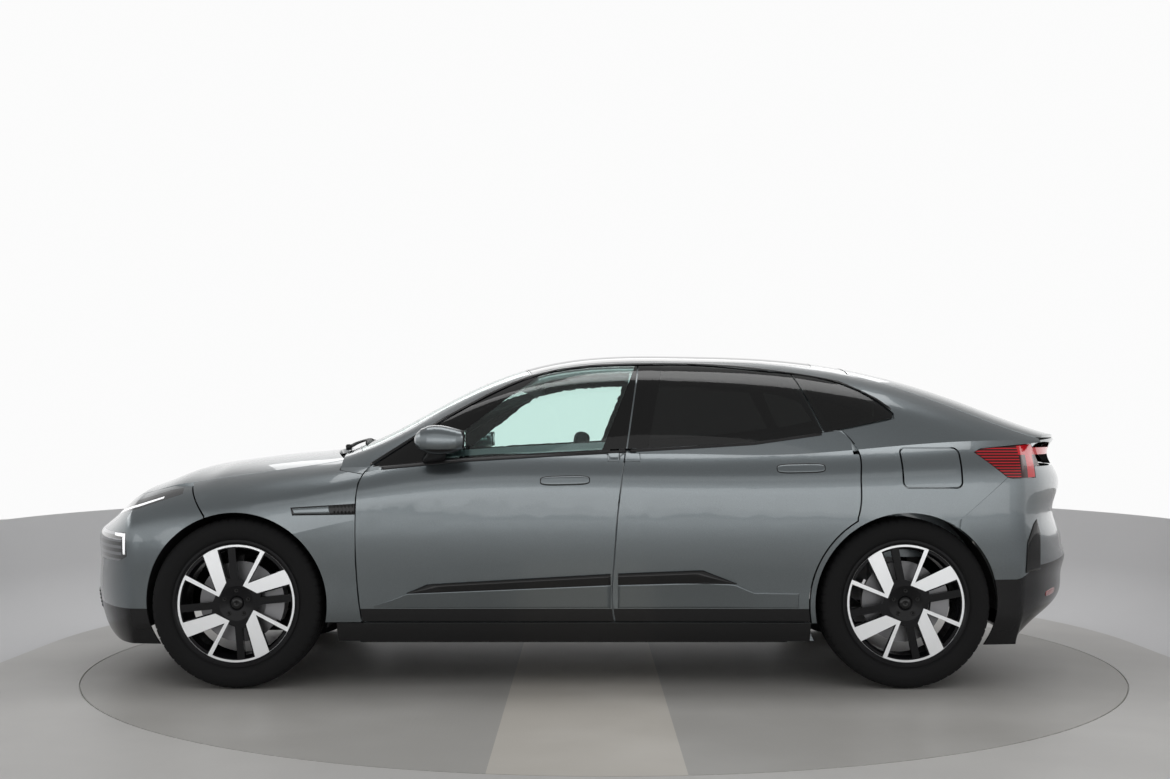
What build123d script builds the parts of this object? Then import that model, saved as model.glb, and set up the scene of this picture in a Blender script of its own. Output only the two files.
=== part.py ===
"""Electric crossover: a five-door coupe-backed family car, in millimetres.

+X runs to the tail, -Y is the car's left side and +Z is up.  The origin is on the
floor, below the middle of the car's length.  The body is drawn as a few master
surfaces, and each panel is the piece of a master that its shut lines leave.
"""
from build123d import *
import os
import numpy as np
from math import acos, asin, cos, degrees, pi, radians, sin, sqrt, tan

# ---------------------------------------------------------------- driving sizes
LENGTH = 4840.0            # nose to tail
HALF_WIDTH = 1004.0        # at the rear wheel arches, without the mirrors
HEIGHT = 1534.0            # floor to roof
WHEELBASE = 2999.0
FRONT_OVERHANG = 872.0
COWL_Z = 1046.0            # where the windscreen meets the bonnet line
SILL_Z = 205.0             # lowest edge of the painted body
TRACK = 1660.0             # between the wheels' middle planes
TYRE_R, TYRE_W = 381.4, 255.0
RIM_R = 284.0              # outer edge of the rim flange
BEAD_R = 266.7
ARCH_R = 408.0             # wheel arch opening
DISC_R = 182.0
SHUT = 7.0                 # gap between a moving panel and its neighbour
MOVING_GAP = 5.0           # least room round what swings
SEAM = 3.0                 # gap between two fixed panels
SKIN = 12.0                # thickness of wings and bumpers
GLASS = 5.0
SEAT = 0.3                 # clearance where a piece rests on its seat
PILLAR = 55.0              # depth of the roof rails and pillars
DOOR_INNER = 870.0         # inner face of the doors, from the middle plane
FRAME_OUTER = 860.0        # outer face of the door frames behind them
FRAME_INNER = 800.0
DOOR_FOOT_Z = 301.0        # lower edge of the doors
HINGE_BACK = 60.0          # door hinge pin, behind the door's leading edge
HINGE_Y = 972.0
HINGE_R = 5.0
FIT = 0.05                 # radial clearance of pins and axles
KINGPIN_Y = TRACK / 2 - 25
STUB_R = 30.0

# ---------------------------------------------------------------- derived places
NOSE = -LENGTH / 2
TAIL = LENGTH / 2
FRONT = NOSE + FRONT_OVERHANG      # front axle
REAR = FRONT + WHEELBASE           # rear axle
WHEEL_Y = TRACK / 2
AXLE_Z = TYRE_R
NOSE_BASE = FRONT - 480            # where the side starts to turn into the nose
TAIL_BASE = REAR + 500
NOSE_REACH = NOSE_BASE - NOSE
TAIL_REACH = TAIL - TAIL_BASE


def natural_spline(*knots):
    """A smooth curve through (place, value) knots, straight at both ends."""
    xs, ys = (np.array(column, float) for column in zip(*knots))
    h = np.diff(xs)
    n = len(xs)
    a, b = np.eye(n), np.zeros(n)
    for i in range(1, n - 1):
        a[i, i - 1:i + 2] = h[i - 1], 2 * (h[i - 1] + h[i]), h[i]
        b[i] = 6 * ((ys[i + 1] - ys[i]) / h[i] - (ys[i] - ys[i - 1]) / h[i - 1])
    m = np.linalg.solve(a, b)

    def value(x):
        i = int(np.clip(np.searchsorted(xs, x) - 1, 0, n - 2))
        u, v = xs[i + 1] - x, x - xs[i]
        return float((m[i] * u ** 3 + m[i + 1] * v ** 3) / (6 * h[i])
                     + (ys[i] / h[i] - m[i] * h[i] / 6) * u
                     + (ys[i + 1] / h[i] - m[i + 1] * h[i] / 6) * v)
    return value


# ---------------------------------------------------------------- body form
# share of the height above the cowl that the windscreen, roof and tailgate have
roof_share = natural_spline(
    (FRONT + 350, 0), (FRONT + 605, .205), (FRONT + 916, .555), (FRONT + 1226, .832),
    (FRONT + 1536, .969), (REAR - 997, 1), (REAR - 532, .969), (REAR - 221, .895),
    (REAR + 89, .756), (REAR + 399, .545), (REAR + 710, .281), (REAR + 865, .184),
    (REAR + 969, .16))
# how far the side lies inside the half width, seen from above
plan_inset = natural_spline(
    (FRONT - 420, 46), (FRONT - 100, 12), (FRONT + 300, 14), (FRONT + 900, 18),
    (REAR - 700, 16), (REAR - 250, 6), (REAR + 150, 0), (REAR + 500, 29), (REAR + 800, 99))
# height of the shoulder crease below the windows
crease = natural_spline(
    (FRONT + 350, 985), (FRONT + 650, 995), (FRONT + 1000, 1028), (FRONT + 1550, 1050),
    (REAR - 950, 1050), (REAR - 600, 1045), (REAR - 220, 1068), (REAR + 250, 1105),
    (REAR + 650, 1110), (REAR + 950, 1104))
# height of the bonnet at the middle, and its continuation under the windows
crown = natural_spline(
    (NOSE_BASE - .128 * NOSE_REACH, 902), (NOSE_BASE, 922), (FRONT - 326, 981), (FRONT - 170, 1012), (FRONT, 1034),
    (FRONT + 140, 1049), (FRONT + 450, 1080), (FRONT + 700, 1128), (FRONT + 1550, 1190),
    (REAR - 900, 1190), (REAR - 200, 1215), (REAR + 300, 1250), (REAR + 950, 1260))
# how far the side lies inside its widest line, by height
foot_inset = natural_spline(
    (200, 100), (300, 55), (420, 36), (560, 16), (700, 2), (800, 0), (900, 0))
# where the side starts to roll in towards the crown
shoulder = natural_spline(
    (FRONT - 480, 600), (FRONT, 640), (FRONT + 550, 760), (FRONT + 1550, 800),
    (REAR + 950, 800))
# how square the greenhouse section is
squareness = natural_spline(
    (FRONT + 350, 7), (REAR - 900, 8), (REAR - 200, 6), (REAR + 500, 4), (REAR + 950, 4))
# how far the nose and tail stand back at the middle plane, by height, as a share of the
# end's own length from its base to the car's end
nose_back = natural_spline(
    (190, .23), (260, .087), (350, .02), (450, 0), (600, .013), (690, .056), (730, .214),
    (780, .383), (846, .602), (902, .872), (916, .962))
tail_back = natural_spline(
    (190, .76), (240, .58), (285, .34), (320, .18), (355, .075), (410, .02), (500, 0),
    (600, .004), (700, .064), (800, .117), (860, .064), (930, .043), (1000, .128),
    (1060, .16), (1125, .111))
# share of the greenhouse height that the side windows' upper edge reaches
window_share = natural_spline(
    (FRONT + 595, -.115), (FRONT + 764, .111), (FRONT + 933, .334), (FRONT + 1115, .543),
    (FRONT + 1304, .721), (FRONT + 1433, .789), (FRONT + 1606, .834), (REAR - 1225, .846),
    (REAR - 897, .846), (REAR - 577, .781), (REAR - 257, .670), (REAR - 101, .502),
    (REAR - 11, .352))
# lower edge of the side windows
belt = natural_spline(
    (FRONT + 595, 990), (FRONT + 683, 1000), (FRONT + 998, 1032), (FRONT + 1368, 1054),
    (REAR - 1261, 1073), (REAR - 931, 1086), (REAR - 671, 1104), (REAR - 291, 1158),
    (REAR - 11, 1218))
CROWN_ROUND, SIDE_ROUND = 4.0, 2.0
GREENHOUSE_ROUND = 2.3
TUCK = 0.2                 # how far the greenhouse leans in
CORNER_LONG, CORNER_WIDE = 1.4, 1.25


def roof_z(x):
    return COWL_Z + roof_share(x) * (HEIGHT - COWL_Z)


def side_y(x, z, depth=0.0):
    """Half width of the lower body, or of a surface that lies depth below it."""
    if x < NOSE_BASE:
        reach = NOSE_REACH * (1 - nose_back(z)) - depth
        along = min((NOSE_BASE - x) / max(reach, 1), 1) ** (1 / CORNER_LONG)
        return side_y(NOSE_BASE, z, depth) * sin(acos(along)) ** CORNER_WIDE
    start = shoulder(x)
    wide = HALF_WIDTH - plan_inset(x) - foot_inset(min(z, start)) - depth
    if z <= start:
        return wide
    rise = min((z - start) / (crown(x) - depth - start), 1.0)
    return wide * (1 - rise ** CROWN_ROUND) ** (1 / SIDE_ROUND)


def greenhouse(x, depth=0.0, points=10):
    """Half section of the windows and roof, from the shoulder crease to the middle."""
    edge_z = crease(x) - depth
    foot = edge_z - 100
    top = roof_z(x) - depth
    square = squareness(x)
    edge = (edge_z - foot) / (top - foot)

    def lean(f):
        return (1 - TUCK * f) * (1 - f ** square) ** (1 / GREENHOUSE_ROUND)
    wide = side_y(x, edge_z, depth) / lean(edge)
    start = acos((1 - edge ** square) ** (1 / GREENHOUSE_ROUND))
    curve = []
    for angle in np.linspace(start, pi / 2, points):
        f = (1 - max(cos(angle), 0) ** GREENHOUSE_ROUND) ** (1 / square)
        curve.append((wide * (1 - TUCK * f) * max(cos(angle), 0), foot + f * (top - foot)))
    return curve


def even_spline(points):
    """A spline whose knots are spaced alike, so that sections of one loft match."""
    flat = [Vector(*p) for p in points]
    return Edge.make_spline(flat, parameters=list(np.linspace(0, 1, len(flat))))


def mirrored(points):
    return [(-y, z) for y, z in reversed(points)]


def full_section(x, low, over):
    """Closed section across the car from its right lower and upper half curves."""
    with BuildSketch(Plane.YZ.offset(x)) as section:
        with BuildLine():
            add(even_spline(low))
            add(even_spline(over + mirrored(over[:-1])))
            add(even_spline(mirrored(low)))
            Line(mirrored(low)[-1], low[0])
        make_face()
    return section.sketch


def cabin_master(depth=0.0):
    """Sides, windows and roof as one closed solid, or a copy that lies depth inside."""
    sections = []
    for x in CABIN_STATIONS:
        low = [(side_y(x, z, depth), z) for z in np.linspace(SILL_Z, crease(x) - depth, 9)]
        sections.append(full_section(x, low, greenhouse(x, depth)))
    with BuildPart() as master:
        loft(sections)
    return master.part


def front_master(depth=0.0):
    """Wings and bonnet as one closed solid, or a copy that lies depth inside."""
    sections = []
    for x in FRONT_STATIONS:
        start, top = shoulder(x), crown(x) - depth
        low = [(side_y(x, z, depth), z) for z in np.linspace(SILL_Z, start, 7)]
        over = []
        for angle in np.linspace(0, pi / 2, 12):
            z = start + sin(angle) ** (2 / CROWN_ROUND) * (top - start)
            over.append((side_y(x, z, depth) if angle < pi / 2 else 0, z))
        sections.append(full_section(x, low, over))
    with BuildPart() as master:
        loft(sections)
    return master.part


def end_master(end, heights, stand_back, base, full_reach, sides, depth=0.0, turn=None):
    """Nose (end -1) or tail (end 1): outlines seen from above, lofted by height.

    A copy that lies depth inside is narrower below turn[0] and lower above turn[1].
    """
    with BuildPart() as master:
        for height in heights:
            share = float(np.interp(height, turn, (0, 1))) if turn else 0.0
            z, inward = height - depth * share, depth * (1 - share)
            reach = full_reach * (1 - stand_back(height)) - inward
            curve = [(x, side_y(x, height, inward)) for x in sides]
            for angle in np.linspace(pi / 2, 0, 9):
                curve.append((base + end * reach * cos(angle) ** CORNER_LONG,
                              side_y(base, height, inward) * sin(angle) ** CORNER_WIDE))
            other = [(x, -y) for x, y in reversed(curve[:-1])]
            with BuildSketch(Plane.XY.offset(z)):
                with BuildLine():
                    add(even_spline(curve + other))
                    Line(other[-1], curve[0])
                make_face()
        loft()
    return master.part


def side_prism(outline, inner=0.0, outer=1300.0):
    """Left-side block whose outline is drawn in side view, as (x, z) points."""
    with BuildPart() as prism:
        with BuildSketch(Plane.XZ.offset(inner)):
            with BuildLine():
                Polyline(*outline, close=True)
            make_face()
        extrude(amount=outer - inner)
    return prism.part


def block(x, y, z):
    """A plain box between pairs of limits, used to trim panels."""
    with BuildPart() as box:
        with BuildSketch(Plane.XY.offset(z[0])):
            with Locations(((x[0] + x[1]) / 2, (y[0] + y[1]) / 2)):
                Rectangle(x[1] - x[0], y[1] - y[0])
        extrude(amount=z[1] - z[0])
    return box.part


def wheel_well(axle_x, radius, inner, outer=1300.0, side=-1):
    """A drum across one side of the car, about an axle."""
    with BuildPart() as drum:
        with BuildSketch(Plane.XZ.offset(-side * inner)):
            with Locations((axle_x, AXLE_Z)):
                Circle(radius)
        extrude(amount=-side * (outer - inner))
    return drum.part


pieces = {}                # node name to finished builder

# ---------------------------------------------------------------- master surfaces
CABIN_STATIONS = [FRONT + 450, FRONT + 560, FRONT + 680, FRONT + 820, FRONT + 1000,
                  FRONT + 1250, FRONT + 1550, (FRONT + REAR) / 2 + 150, REAR - 950,
                  REAR - 650, REAR - 400, REAR - 150, REAR + 100, REAR + 350, REAR + 600,
                  REAR + 800, REAR + 960]
FRONT_STATIONS = [NOSE_BASE - .128 * NOSE_REACH, NOSE_BASE - .06 * NOSE_REACH, NOSE_BASE,
                  FRONT - 390, FRONT - 300, FRONT - 150, FRONT, FRONT + 150, FRONT + 300,
                  FRONT + 450, FRONT + 600]
NOSE_HEIGHTS = [190, 260, 350, 450, 540, 620, 680, 720, 770, 820, 865, 885, 900]
TAIL_HEIGHTS = [190, 240, 285, 320, 355, 410, 500, 600, 700, 790, 860, 930, 1000, 1060, 1125]
NOSE_SIDES = [FRONT - 120, FRONT - 200, FRONT - 270, FRONT - 330, FRONT - 390, FRONT - 440]
TAIL_SIDES = [REAR + 150, REAR + 270, REAR + 390]


def nose_master(depth=0.0):
    return end_master(-1, NOSE_HEIGHTS, nose_back, NOSE_BASE, NOSE_REACH, NOSE_SIDES, depth,
                      (600, 770))


def tail_master(depth=0.0):
    return end_master(1, TAIL_HEIGHTS, tail_back, TAIL_BASE, TAIL_REACH, TAIL_SIDES, depth)


cabin, cabin_glass = cabin_master(), cabin_master(GLASS)
cabin_bed, cabin_seal = cabin_master(GLASS + SEAT), cabin_master(GLASS + 7)
cabin_inside = cabin_master(PILLAR)
front, front_inside, lid_inside = front_master(), front_master(SKIN), front_master(22)
nose, nose_inside = nose_master(), nose_master(SKIN)
tail, tail_inside = tail_master(), tail_master(SKIN)


def window_top(x):
    return COWL_Z + window_share(x) * (HEIGHT - COWL_Z)


def window_prism(ahead, behind, grow=0.0, inner=300.0):
    """Left-side block over a side window between two slanted lines.

    Each line is a pair of lengthwise places, at the belt and at the roof.
    """
    low = [(x, belt(x) - grow) for x in np.linspace(ahead[0], behind[0], 7)]
    high = [(x, window_top(x) + grow) for x in np.linspace(behind[1], ahead[1], 13)]
    with BuildPart() as prism:
        with BuildSketch(Plane.XZ.offset(inner)):
            with BuildLine():
                Spline(*low)
                Line(low[-1], high[0])
                Spline(*high)
                Line(high[-1], low[0])
            make_face()
        extrude(amount=1300 - inner)
    return prism.part


def shell_piece(outer, inner, *trims, cuts=()):
    """The skin between two masters that lies inside every trim and outside every cut."""
    with BuildPart() as piece:
        add(outer)
        add(inner, mode=Mode.SUBTRACT)
        for trim in trims:
            add(trim, mode=Mode.INTERSECT)
        for cut in cuts:
            add(cut, mode=Mode.SUBTRACT)
    return piece


def both_sides(part):
    """A left-side solid and its mirror image, as solids of one piece."""
    with BuildPart() as pair:
        add(part)
        mirror(about=Plane.XZ)
    return pair


def mirror_image(part):
    with BuildPart() as image:
        mirror(part, about=Plane.XZ)
    return image


def bar(start, end, radius):
    """A round bar from one point to another."""
    run = Vector(*end) - Vector(*start)
    with BuildPart() as rod:
        with BuildSketch(Plane(origin=start, z_dir=run)):
            Circle(radius)
        extrude(amount=run.length)
    return rod.part


# ---------------------------------------------------------------- shut lines
LEAD = FRONT + 543                 # front door's leading edge
B_LINE = FRONT + 1696              # door division, at the foot
DOOR_REAR = REAR - 211
DIVIDE = (REAR - 1247, REAR - 1188)        # between the door windows, belt and roof
QUARTER = (REAR - 352, REAR - 470)         # between rear door and quarter window


# each door edge from its foot up; the last place is where it meets the belt
lead_edge = [(LEAD + 23, DOOR_FOOT_Z), (LEAD + 8, 420), (LEAD, 560), (LEAD, 850),
             (LEAD + 8, 920), (LEAD + 23, 958), (FRONT + 597, None)]
b_edge = [(B_LINE, DOOR_FOOT_Z), (B_LINE - 13, 420), (B_LINE - 4, 570), (B_LINE + 14, 800),
          (B_LINE + 35, 960), (B_LINE + 52, None)]
rear_edge = [(DOOR_REAR - 15, 765), (DOOR_REAR, 845), (DOOR_REAR + 1, 950),
             (REAR - 208, 1068), (REAR - 240, 1120), (REAR - 289, None)]


def door_prism(ahead, behind, grow=0.0, inner=DOOR_INNER, arch=False, shift=(0.0, 0.0)):
    """Left-side block of a door, grown on every side; its top follows the belt."""
    foot = DOOR_FOOT_Z - grow

    def edge(points, move):
        line = [(x + move, foot if z == DOOR_FOOT_Z else z) for x, z in points[:-1]]
        return line + [(points[-1][0] + move, belt(points[-1][0] + move) + grow)]
    ahead, behind = edge(ahead, shift[0] - grow), edge(behind, shift[1] + grow)
    top = [(x, belt(x) + grow) for x in np.linspace(ahead[-1][0], behind[-1][0], 7)]
    heel = (behind[0][0], foot)
    with BuildPart() as prism:
        with BuildSketch(Plane.XZ.offset(inner)):
            with BuildLine():
                Spline(*top)
                Spline(*behind[::-1])
                if arch:
                    Line(behind[0], heel)
                Line(heel, ahead[0])
                Spline(*ahead)
            make_face()
        extrude(amount=1300 - inner)
        if arch:
            with BuildSketch(Plane.XZ.offset(inner)):
                with Locations((REAR, AXLE_Z)):
                    Circle(ARCH_R + DOOR_ARCH - grow)
            extrude(amount=1300 - inner, mode=Mode.SUBTRACT)
    return prism.part


WELL_INNER = 600.0                 # inner wall of the rear wheelhouse
WELL_R = ARCH_R + 32               # wheelhouse behind the arch lip
WELL_LIP = 924.0                   # inner face of the arch lip, from the middle plane
DOOR_ARCH = 28.0                   # the rear door's edge, outside the wheel arch
half_gap = SHUT / 2
EDGE = 7.0                         # gap round the side glass
WIDE = 1300.0                      # beyond the car's side
BACK = TAIL + 200
COWL_X = CABIN_STATIONS[0]         # front face of the cabin

bonnet_outline = [
    [(NOSE + 172, 0), (NOSE + 186, 240), (NOSE + 232, 470), (NOSE + 330, 640)],
    [(NOSE + 330, 640), (NOSE_BASE + 120, 735), (FRONT - 80, 765), (FRONT + 300, 742),
     (FRONT + 445, 715)],
    [(FRONT + 445, 715), (FRONT + 365, 400), (FRONT + 345, 0)]]
windscreen_outline = [
    [(FRONT + 468, 0), (FRONT + 480, 350), (FRONT + 504, 600), (FRONT + 535, 755)],
    [(FRONT + 535, 755), (FRONT + 683, 728), (FRONT + 1115, 638), (FRONT + 1298, 600)],
    [(FRONT + 1298, 600), (FRONT + 1262, 300), (FRONT + 1250, 0)]]
roof_glass_outline = [
    [(FRONT + 1262, 0), (FRONT + 1274, 300), (FRONT + 1310, 598)],
    [(FRONT + 1310, 598), (FRONT + 1700, 570), (REAR - 900, 560), (REAR - 350, 515)],
    [(REAR - 350, 515), (REAR - 335, 250), (REAR - 330, 0)]]
TAILGATE_FRONT = REAR - 180
tailgate_outline = [
    [(TAILGATE_FRONT, 0), (TAILGATE_FRONT, 550)],
    [(TAILGATE_FRONT, 550), (REAR + 50, 628), (REAR + 350, 724), (REAR + 560, 790),
     (REAR + 700, 832)],
    [(REAR + 700, 832), (BACK, 832)],
    [(BACK, 832), (BACK, 0)]]


def across(outline, low, high):
    """Block whose half outline is drawn from above, as curves from the middle out."""
    other = [[(x, -y) for x, y in reversed(curve)] for curve in reversed(outline)]
    with BuildPart() as prism:
        with BuildSketch(Plane.XY.offset(low)):
            with BuildLine():
                for curve in outline + other:
                    if len(curve) == 2:
                        Line(*curve)
                    else:
                        Spline(*curve)
            make_face()
        extrude(amount=high - low)
    return prism.part


def moved_out(outline, grow):
    """The same outline, larger by about grow on every side."""
    xs = [x for curve in outline for x, _ in curve]
    middle, half = (min(xs) + max(xs)) / 2, (max(xs) - min(xs)) / 2
    widest = max(y for curve in outline for _, y in curve)
    return [[(middle + (x - middle) * (half + grow) / half, y * (widest + grow) / widest)
             for x, y in curve] for curve in outline]


arch_cut_rear = wheel_well(REAR, ARCH_R, WELL_INNER)
arch_cut_front = wheel_well(FRONT, ARCH_R, 480)

# ---------------------------------------------------------------- doors and their glass
front_door_block = door_prism(lead_edge, b_edge, shift=(0, -half_gap))
rear_door_block = door_prism(b_edge, rear_edge, arch=True, shift=(half_gap, 0))
FRONT_PIN = (LEAD + HINGE_BACK, -HINGE_Y)
REAR_PIN = (B_LINE + half_gap + HINGE_BACK + 6, -HINGE_Y)
HINGE_LEVELS = ((668, 722), (806, 860))
PIN_END = 12.0                     # how far a hinge pin reaches into the door


def door(block_part, pin, rear_x, taper_foot, reliefs=()):
    """A door as thick as its real panels, hollowed for its hinges, with a chamfered heel."""
    lead = pin[0] - HINGE_BACK
    with BuildPart() as panel:
        add(block_part)
        add(cabin, mode=Mode.INTERSECT)
        with BuildSketch(Plane.XY.offset(200)):
            with Locations((pin[0] - 35, -(DOOR_INNER - 50 + 915) / 2)):
                Rectangle(130, 915 - DOOR_INNER + 50)
            with BuildLine():
                Polyline((rear_x + 40, -DOOR_INNER + 60), (rear_x + 40, -925), (rear_x - 1, -925),
                         (rear_x - 9, -DOOR_INNER + 60), close=True)
            make_face()
        extrude(amount=taper_foot, mode=Mode.SUBTRACT)
        for low, high in HINGE_LEVELS:
            with BuildSketch(Plane.XY.offset(low)):
                with Locations(((lead + pin[0]) / 2, -(DOOR_INNER + HINGE_Y) / 2 + 8)):
                    Rectangle(HINGE_BACK + 2 * (HINGE_R + 6), HINGE_Y - DOOR_INNER + 30)
            extrude(amount=high - low, mode=Mode.SUBTRACT)
            with BuildSketch(Plane.XY.offset(low - 15)):
                with Locations(pin):
                    Circle(HINGE_R + FIT)
            extrude(amount=high - low + 30, mode=Mode.SUBTRACT)
        for relief in reliefs:
            add(relief, mode=Mode.SUBTRACT)
    return panel


front_left_door = door(front_door_block, FRONT_PIN, b_edge[1][0] - half_gap, 1000)
rear_left_door = door(rear_door_block, REAR_PIN, rear_edge[0][0], 1000,
                      [wheel_well(REAR, WELL_R + 12, 0, 930)])
front_window = ((FRONT + 603, FRONT + 603), (DIVIDE[0] - half_gap, DIVIDE[1] - half_gap))
rear_window = ((DIVIDE[0] + half_gap, DIVIDE[1] + half_gap),
               (QUARTER[0] - half_gap, QUARTER[1] - half_gap))
quarter_window = ((QUARTER[0] + half_gap, QUARTER[1] + half_gap), (REAR - 30, REAR - 30))
for name, panel in (("front", front_left_door), ("rear", rear_left_door)):
    pieces[f"{name}_left_door"] = panel
    pieces[f"{name}_right_door"] = mirror_image(panel.part)
for name, line in (("front", front_window), ("rear", rear_window), ("quarter", quarter_window)):
    pane = shell_piece(cabin, cabin_glass, window_prism(*line, -SEAT))
    if name == "quarter":
        pieces["quarter_windows"] = both_sides(pane.part)
    else:
        pieces[f"{name}_left_window"] = pane
        pieces[f"{name}_right_window"] = mirror_image(pane.part)

# ---------------------------------------------------------------- charge flap
FLAP_X = (REAR - 16, REAR + 238)
FLAP_Z = (904.0, 1073.0)
FLAP_T = GLASS + 7
FLAP_GAP = 8.0
FLAP_ROUND = 22.0
FLAP_PIN_BACK, FLAP_PIN_DEEP, FLAP_PIN_R = 8.0, 7.0, 2.5
FLAP_ARM = 12.0                    # half width of the body's hinge arm
POCKET_FLOOR = 880.0               # from the middle plane


def flap_prism(grow, inner):
    """Left-side block over the charge flap, grown on every side."""
    with BuildPart() as prism:
        with BuildSketch(Plane.XZ.offset(inner)):
            with Locations((sum(FLAP_X) / 2, sum(FLAP_Z) / 2)):
                RectangleRounded(FLAP_X[1] - FLAP_X[0] + 2 * grow, FLAP_Z[1] - FLAP_Z[0] + 2 * grow,
                                 FLAP_ROUND + grow)
        extrude(amount=WIDE - inner)
    return prism.part


flap_x, flap_z = FLAP_X[0] + FLAP_PIN_BACK, sum(FLAP_Z) / 2
flap_lean = (side_y(flap_x, flap_z - 1) - side_y(flap_x, flap_z + 1)) / 2
FLAP_AXIS = Vector(0, flap_lean, 1).normalized()
FLAP_IN = Vector(0, 1, -flap_lean).normalized()
FLAP_PIN = Vector(flap_x, -side_y(flap_x, flap_z), flap_z) + FLAP_IN * FLAP_PIN_DEEP


def beside_pin(low, high, ahead, behind, deep):
    """A block in the flap hinge's own frame: along the pin, across it, and inward."""
    with BuildPart() as piece:
        with BuildSketch(Plane(origin=FLAP_PIN + FLAP_AXIS * low, x_dir=(1, 0, 0), z_dir=FLAP_AXIS)):
            with Locations(((behind - ahead) / 2, (deep[0] + deep[1]) / 2)):
                Rectangle(ahead + behind, deep[1] - deep[0])
        extrude(amount=high - low)
    return piece.part


with BuildPart() as charge_flap:
    add(cabin)
    add(cabin_seal, mode=Mode.SUBTRACT)
    add(flap_prism(0, 700), mode=Mode.INTERSECT)
    add(beside_pin(-FLAP_ARM - 3, FLAP_ARM + 3, FLAP_PIN_BACK + 2, 9, (-4.5, 12)), mode=Mode.SUBTRACT)
    add(bar(FLAP_PIN - FLAP_AXIS * 34, FLAP_PIN + FLAP_AXIS * 34, FLAP_PIN_R + FIT), mode=Mode.SUBTRACT)
pieces["charge_flap"] = charge_flap

# ---------------------------------------------------------------- tailgate and its hinge
LID_FOOT = 1000.0                  # lower edge of the tailgate
LID_T = 40.0
LID_HINGE_X, LID_HINGE_Y = TAILGATE_FRONT + 30, 150.0
LID_LUG = 15.0                     # half width of the lid's hinge lug
LID_ARMS = (20.0, 34.0)            # body hinge arms, from the middle of the lug
TAIL_LAMP_T = 40.0
tail_lamp_inside = tail_master(TAIL_LAMP_T)
cabin_lid_inside = cabin_master(LID_T)
tailgate_block = across(tailgate_outline, LID_FOOT, 1700)
tailgate_gap = across(moved_out(tailgate_outline, SHUT), LID_FOOT - SHUT, 1700)


def roof_surface(x, y):
    """Height of the roof at a point seen from above."""
    curve = greenhouse(x, points=200)
    return float(np.interp(-y, [-p[0] for p in curve], [p[1] for p in curve]))


LID_PIN_Z = roof_surface(LID_HINGE_X, LID_HINGE_Y) - 10
LID_SWING = Vector(LID_HINGE_X - TAILGATE_FRONT, roof_surface(TAILGATE_FRONT, 0) - LID_PIN_Z).length

with BuildPart() as lid_solid:
    add(tail)
    with BuildSketch(Plane.XY.offset(TAIL_HEIGHTS[-1] - 1)):
        with BuildLine():
            reach = TAIL_REACH * (1 - tail_back(TAIL_HEIGHTS[-1]))
            rim_line = [(TAIL_BASE + reach * cos(angle) ** CORNER_LONG,
                         side_y(TAIL_BASE, 1000) * sin(angle) ** CORNER_WIDE)
                        for angle in np.linspace(pi / 2, 0, 9)]
            rim_line += [(x, -y) for x, y in reversed(rim_line[:-1])]
            add(even_spline(rim_line))
            Polyline(rim_line[-1], (TAILGATE_FRONT, rim_line[-1][1]),
                     (TAILGATE_FRONT, rim_line[0][1]), rim_line[0])
        make_face()
    extrude(amount=600)
    add(block((TAILGATE_FRONT, REAR + 300), (-900, 900), (LID_FOOT, 1700)))
    add(tailgate_block, mode=Mode.INTERSECT)
    add(cabin, mode=Mode.INTERSECT)

with BuildPart() as lid_hollow:
    add(tail_lamp_inside)
    add(block((TAILGATE_FRONT, REAR + 790), (-900, 900), (LID_FOOT, 1700)))
    add(cabin_lid_inside, mode=Mode.INTERSECT)

LAMP_BAR_Y, LAMP_BAR_Z = 780.0, (1046.0, 1078.0)
tail_deep = tail_master(SKIN + SEAT)
with BuildPart() as lamp_bed:
    add(tail)
    add(tail_deep, mode=Mode.SUBTRACT)
    add(block((REAR + 500, BACK), (-LAMP_BAR_Y - SEAT, LAMP_BAR_Y + SEAT),
              (LAMP_BAR_Z[0] - SEAT, LAMP_BAR_Z[1] + SEAT)), mode=Mode.INTERSECT)

with BuildPart() as tailgate:
    add(lid_solid.part)
    add(lid_hollow.part, mode=Mode.SUBTRACT)
    add(lamp_bed.part, mode=Mode.SUBTRACT)
    for side in (-1, 1):
        for arm_side in (-1, 1):
            near = side * LID_HINGE_Y + arm_side * LID_LUG
            far = side * LID_HINGE_Y + arm_side * (LID_ARMS[1] + 6)
            add(block((TAILGATE_FRONT - 1, LID_HINGE_X + 9), sorted((near, far)),
                      (LID_PIN_Z - 60, LID_PIN_Z + 8)), mode=Mode.SUBTRACT)
        add(bar((LID_HINGE_X, side * LID_HINGE_Y - 40, LID_PIN_Z),
                (LID_HINGE_X, side * LID_HINGE_Y + 40, LID_PIN_Z), HINGE_R + FIT), mode=Mode.SUBTRACT)
pieces["tailgate"] = tailgate
pieces["tailgate_lamp"] = shell_piece(
    tail, tail_inside, block((REAR + 500, BACK), (-LAMP_BAR_Y, LAMP_BAR_Y), LAMP_BAR_Z))

# ---------------------------------------------------------------- tail lamps and rear bumper
tail_lamp_outline = [
    (REAR + 315, 1058), (REAR + 345, 1072), (REAR + 663, 1098), (REAR + 663, LID_FOOT - SHUT + SEAM),
    (REAR + 600, LID_FOOT - SHUT + SEAM), (REAR + 600, 946), (REAR + 475, 942), (REAR + 449, 950)]


def grown(outline, grow):
    """A closed outline moved out by grow on every side, with mitred corners."""
    count = len(outline)
    turn = sum(outline[i][0] * outline[(i + 1) % count][1] - outline[(i + 1) % count][0] * outline[i][1]
               for i in range(count))
    points = []
    for i in range(count):
        before, here, after = Vector(*outline[i - 1]), Vector(*outline[i]), Vector(*outline[(i + 1) % count])
        outward = []
        for run in ((here - before).normalized(), (after - here).normalized()):
            outward.append(Vector(run.Y, -run.X) if turn > 0 else Vector(-run.Y, run.X))
        corner = here + (outward[0] + outward[1]) * (grow / (1 + outward[0].dot(outward[1])))
        points.append((corner.X, corner.Y))
    return points


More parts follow.
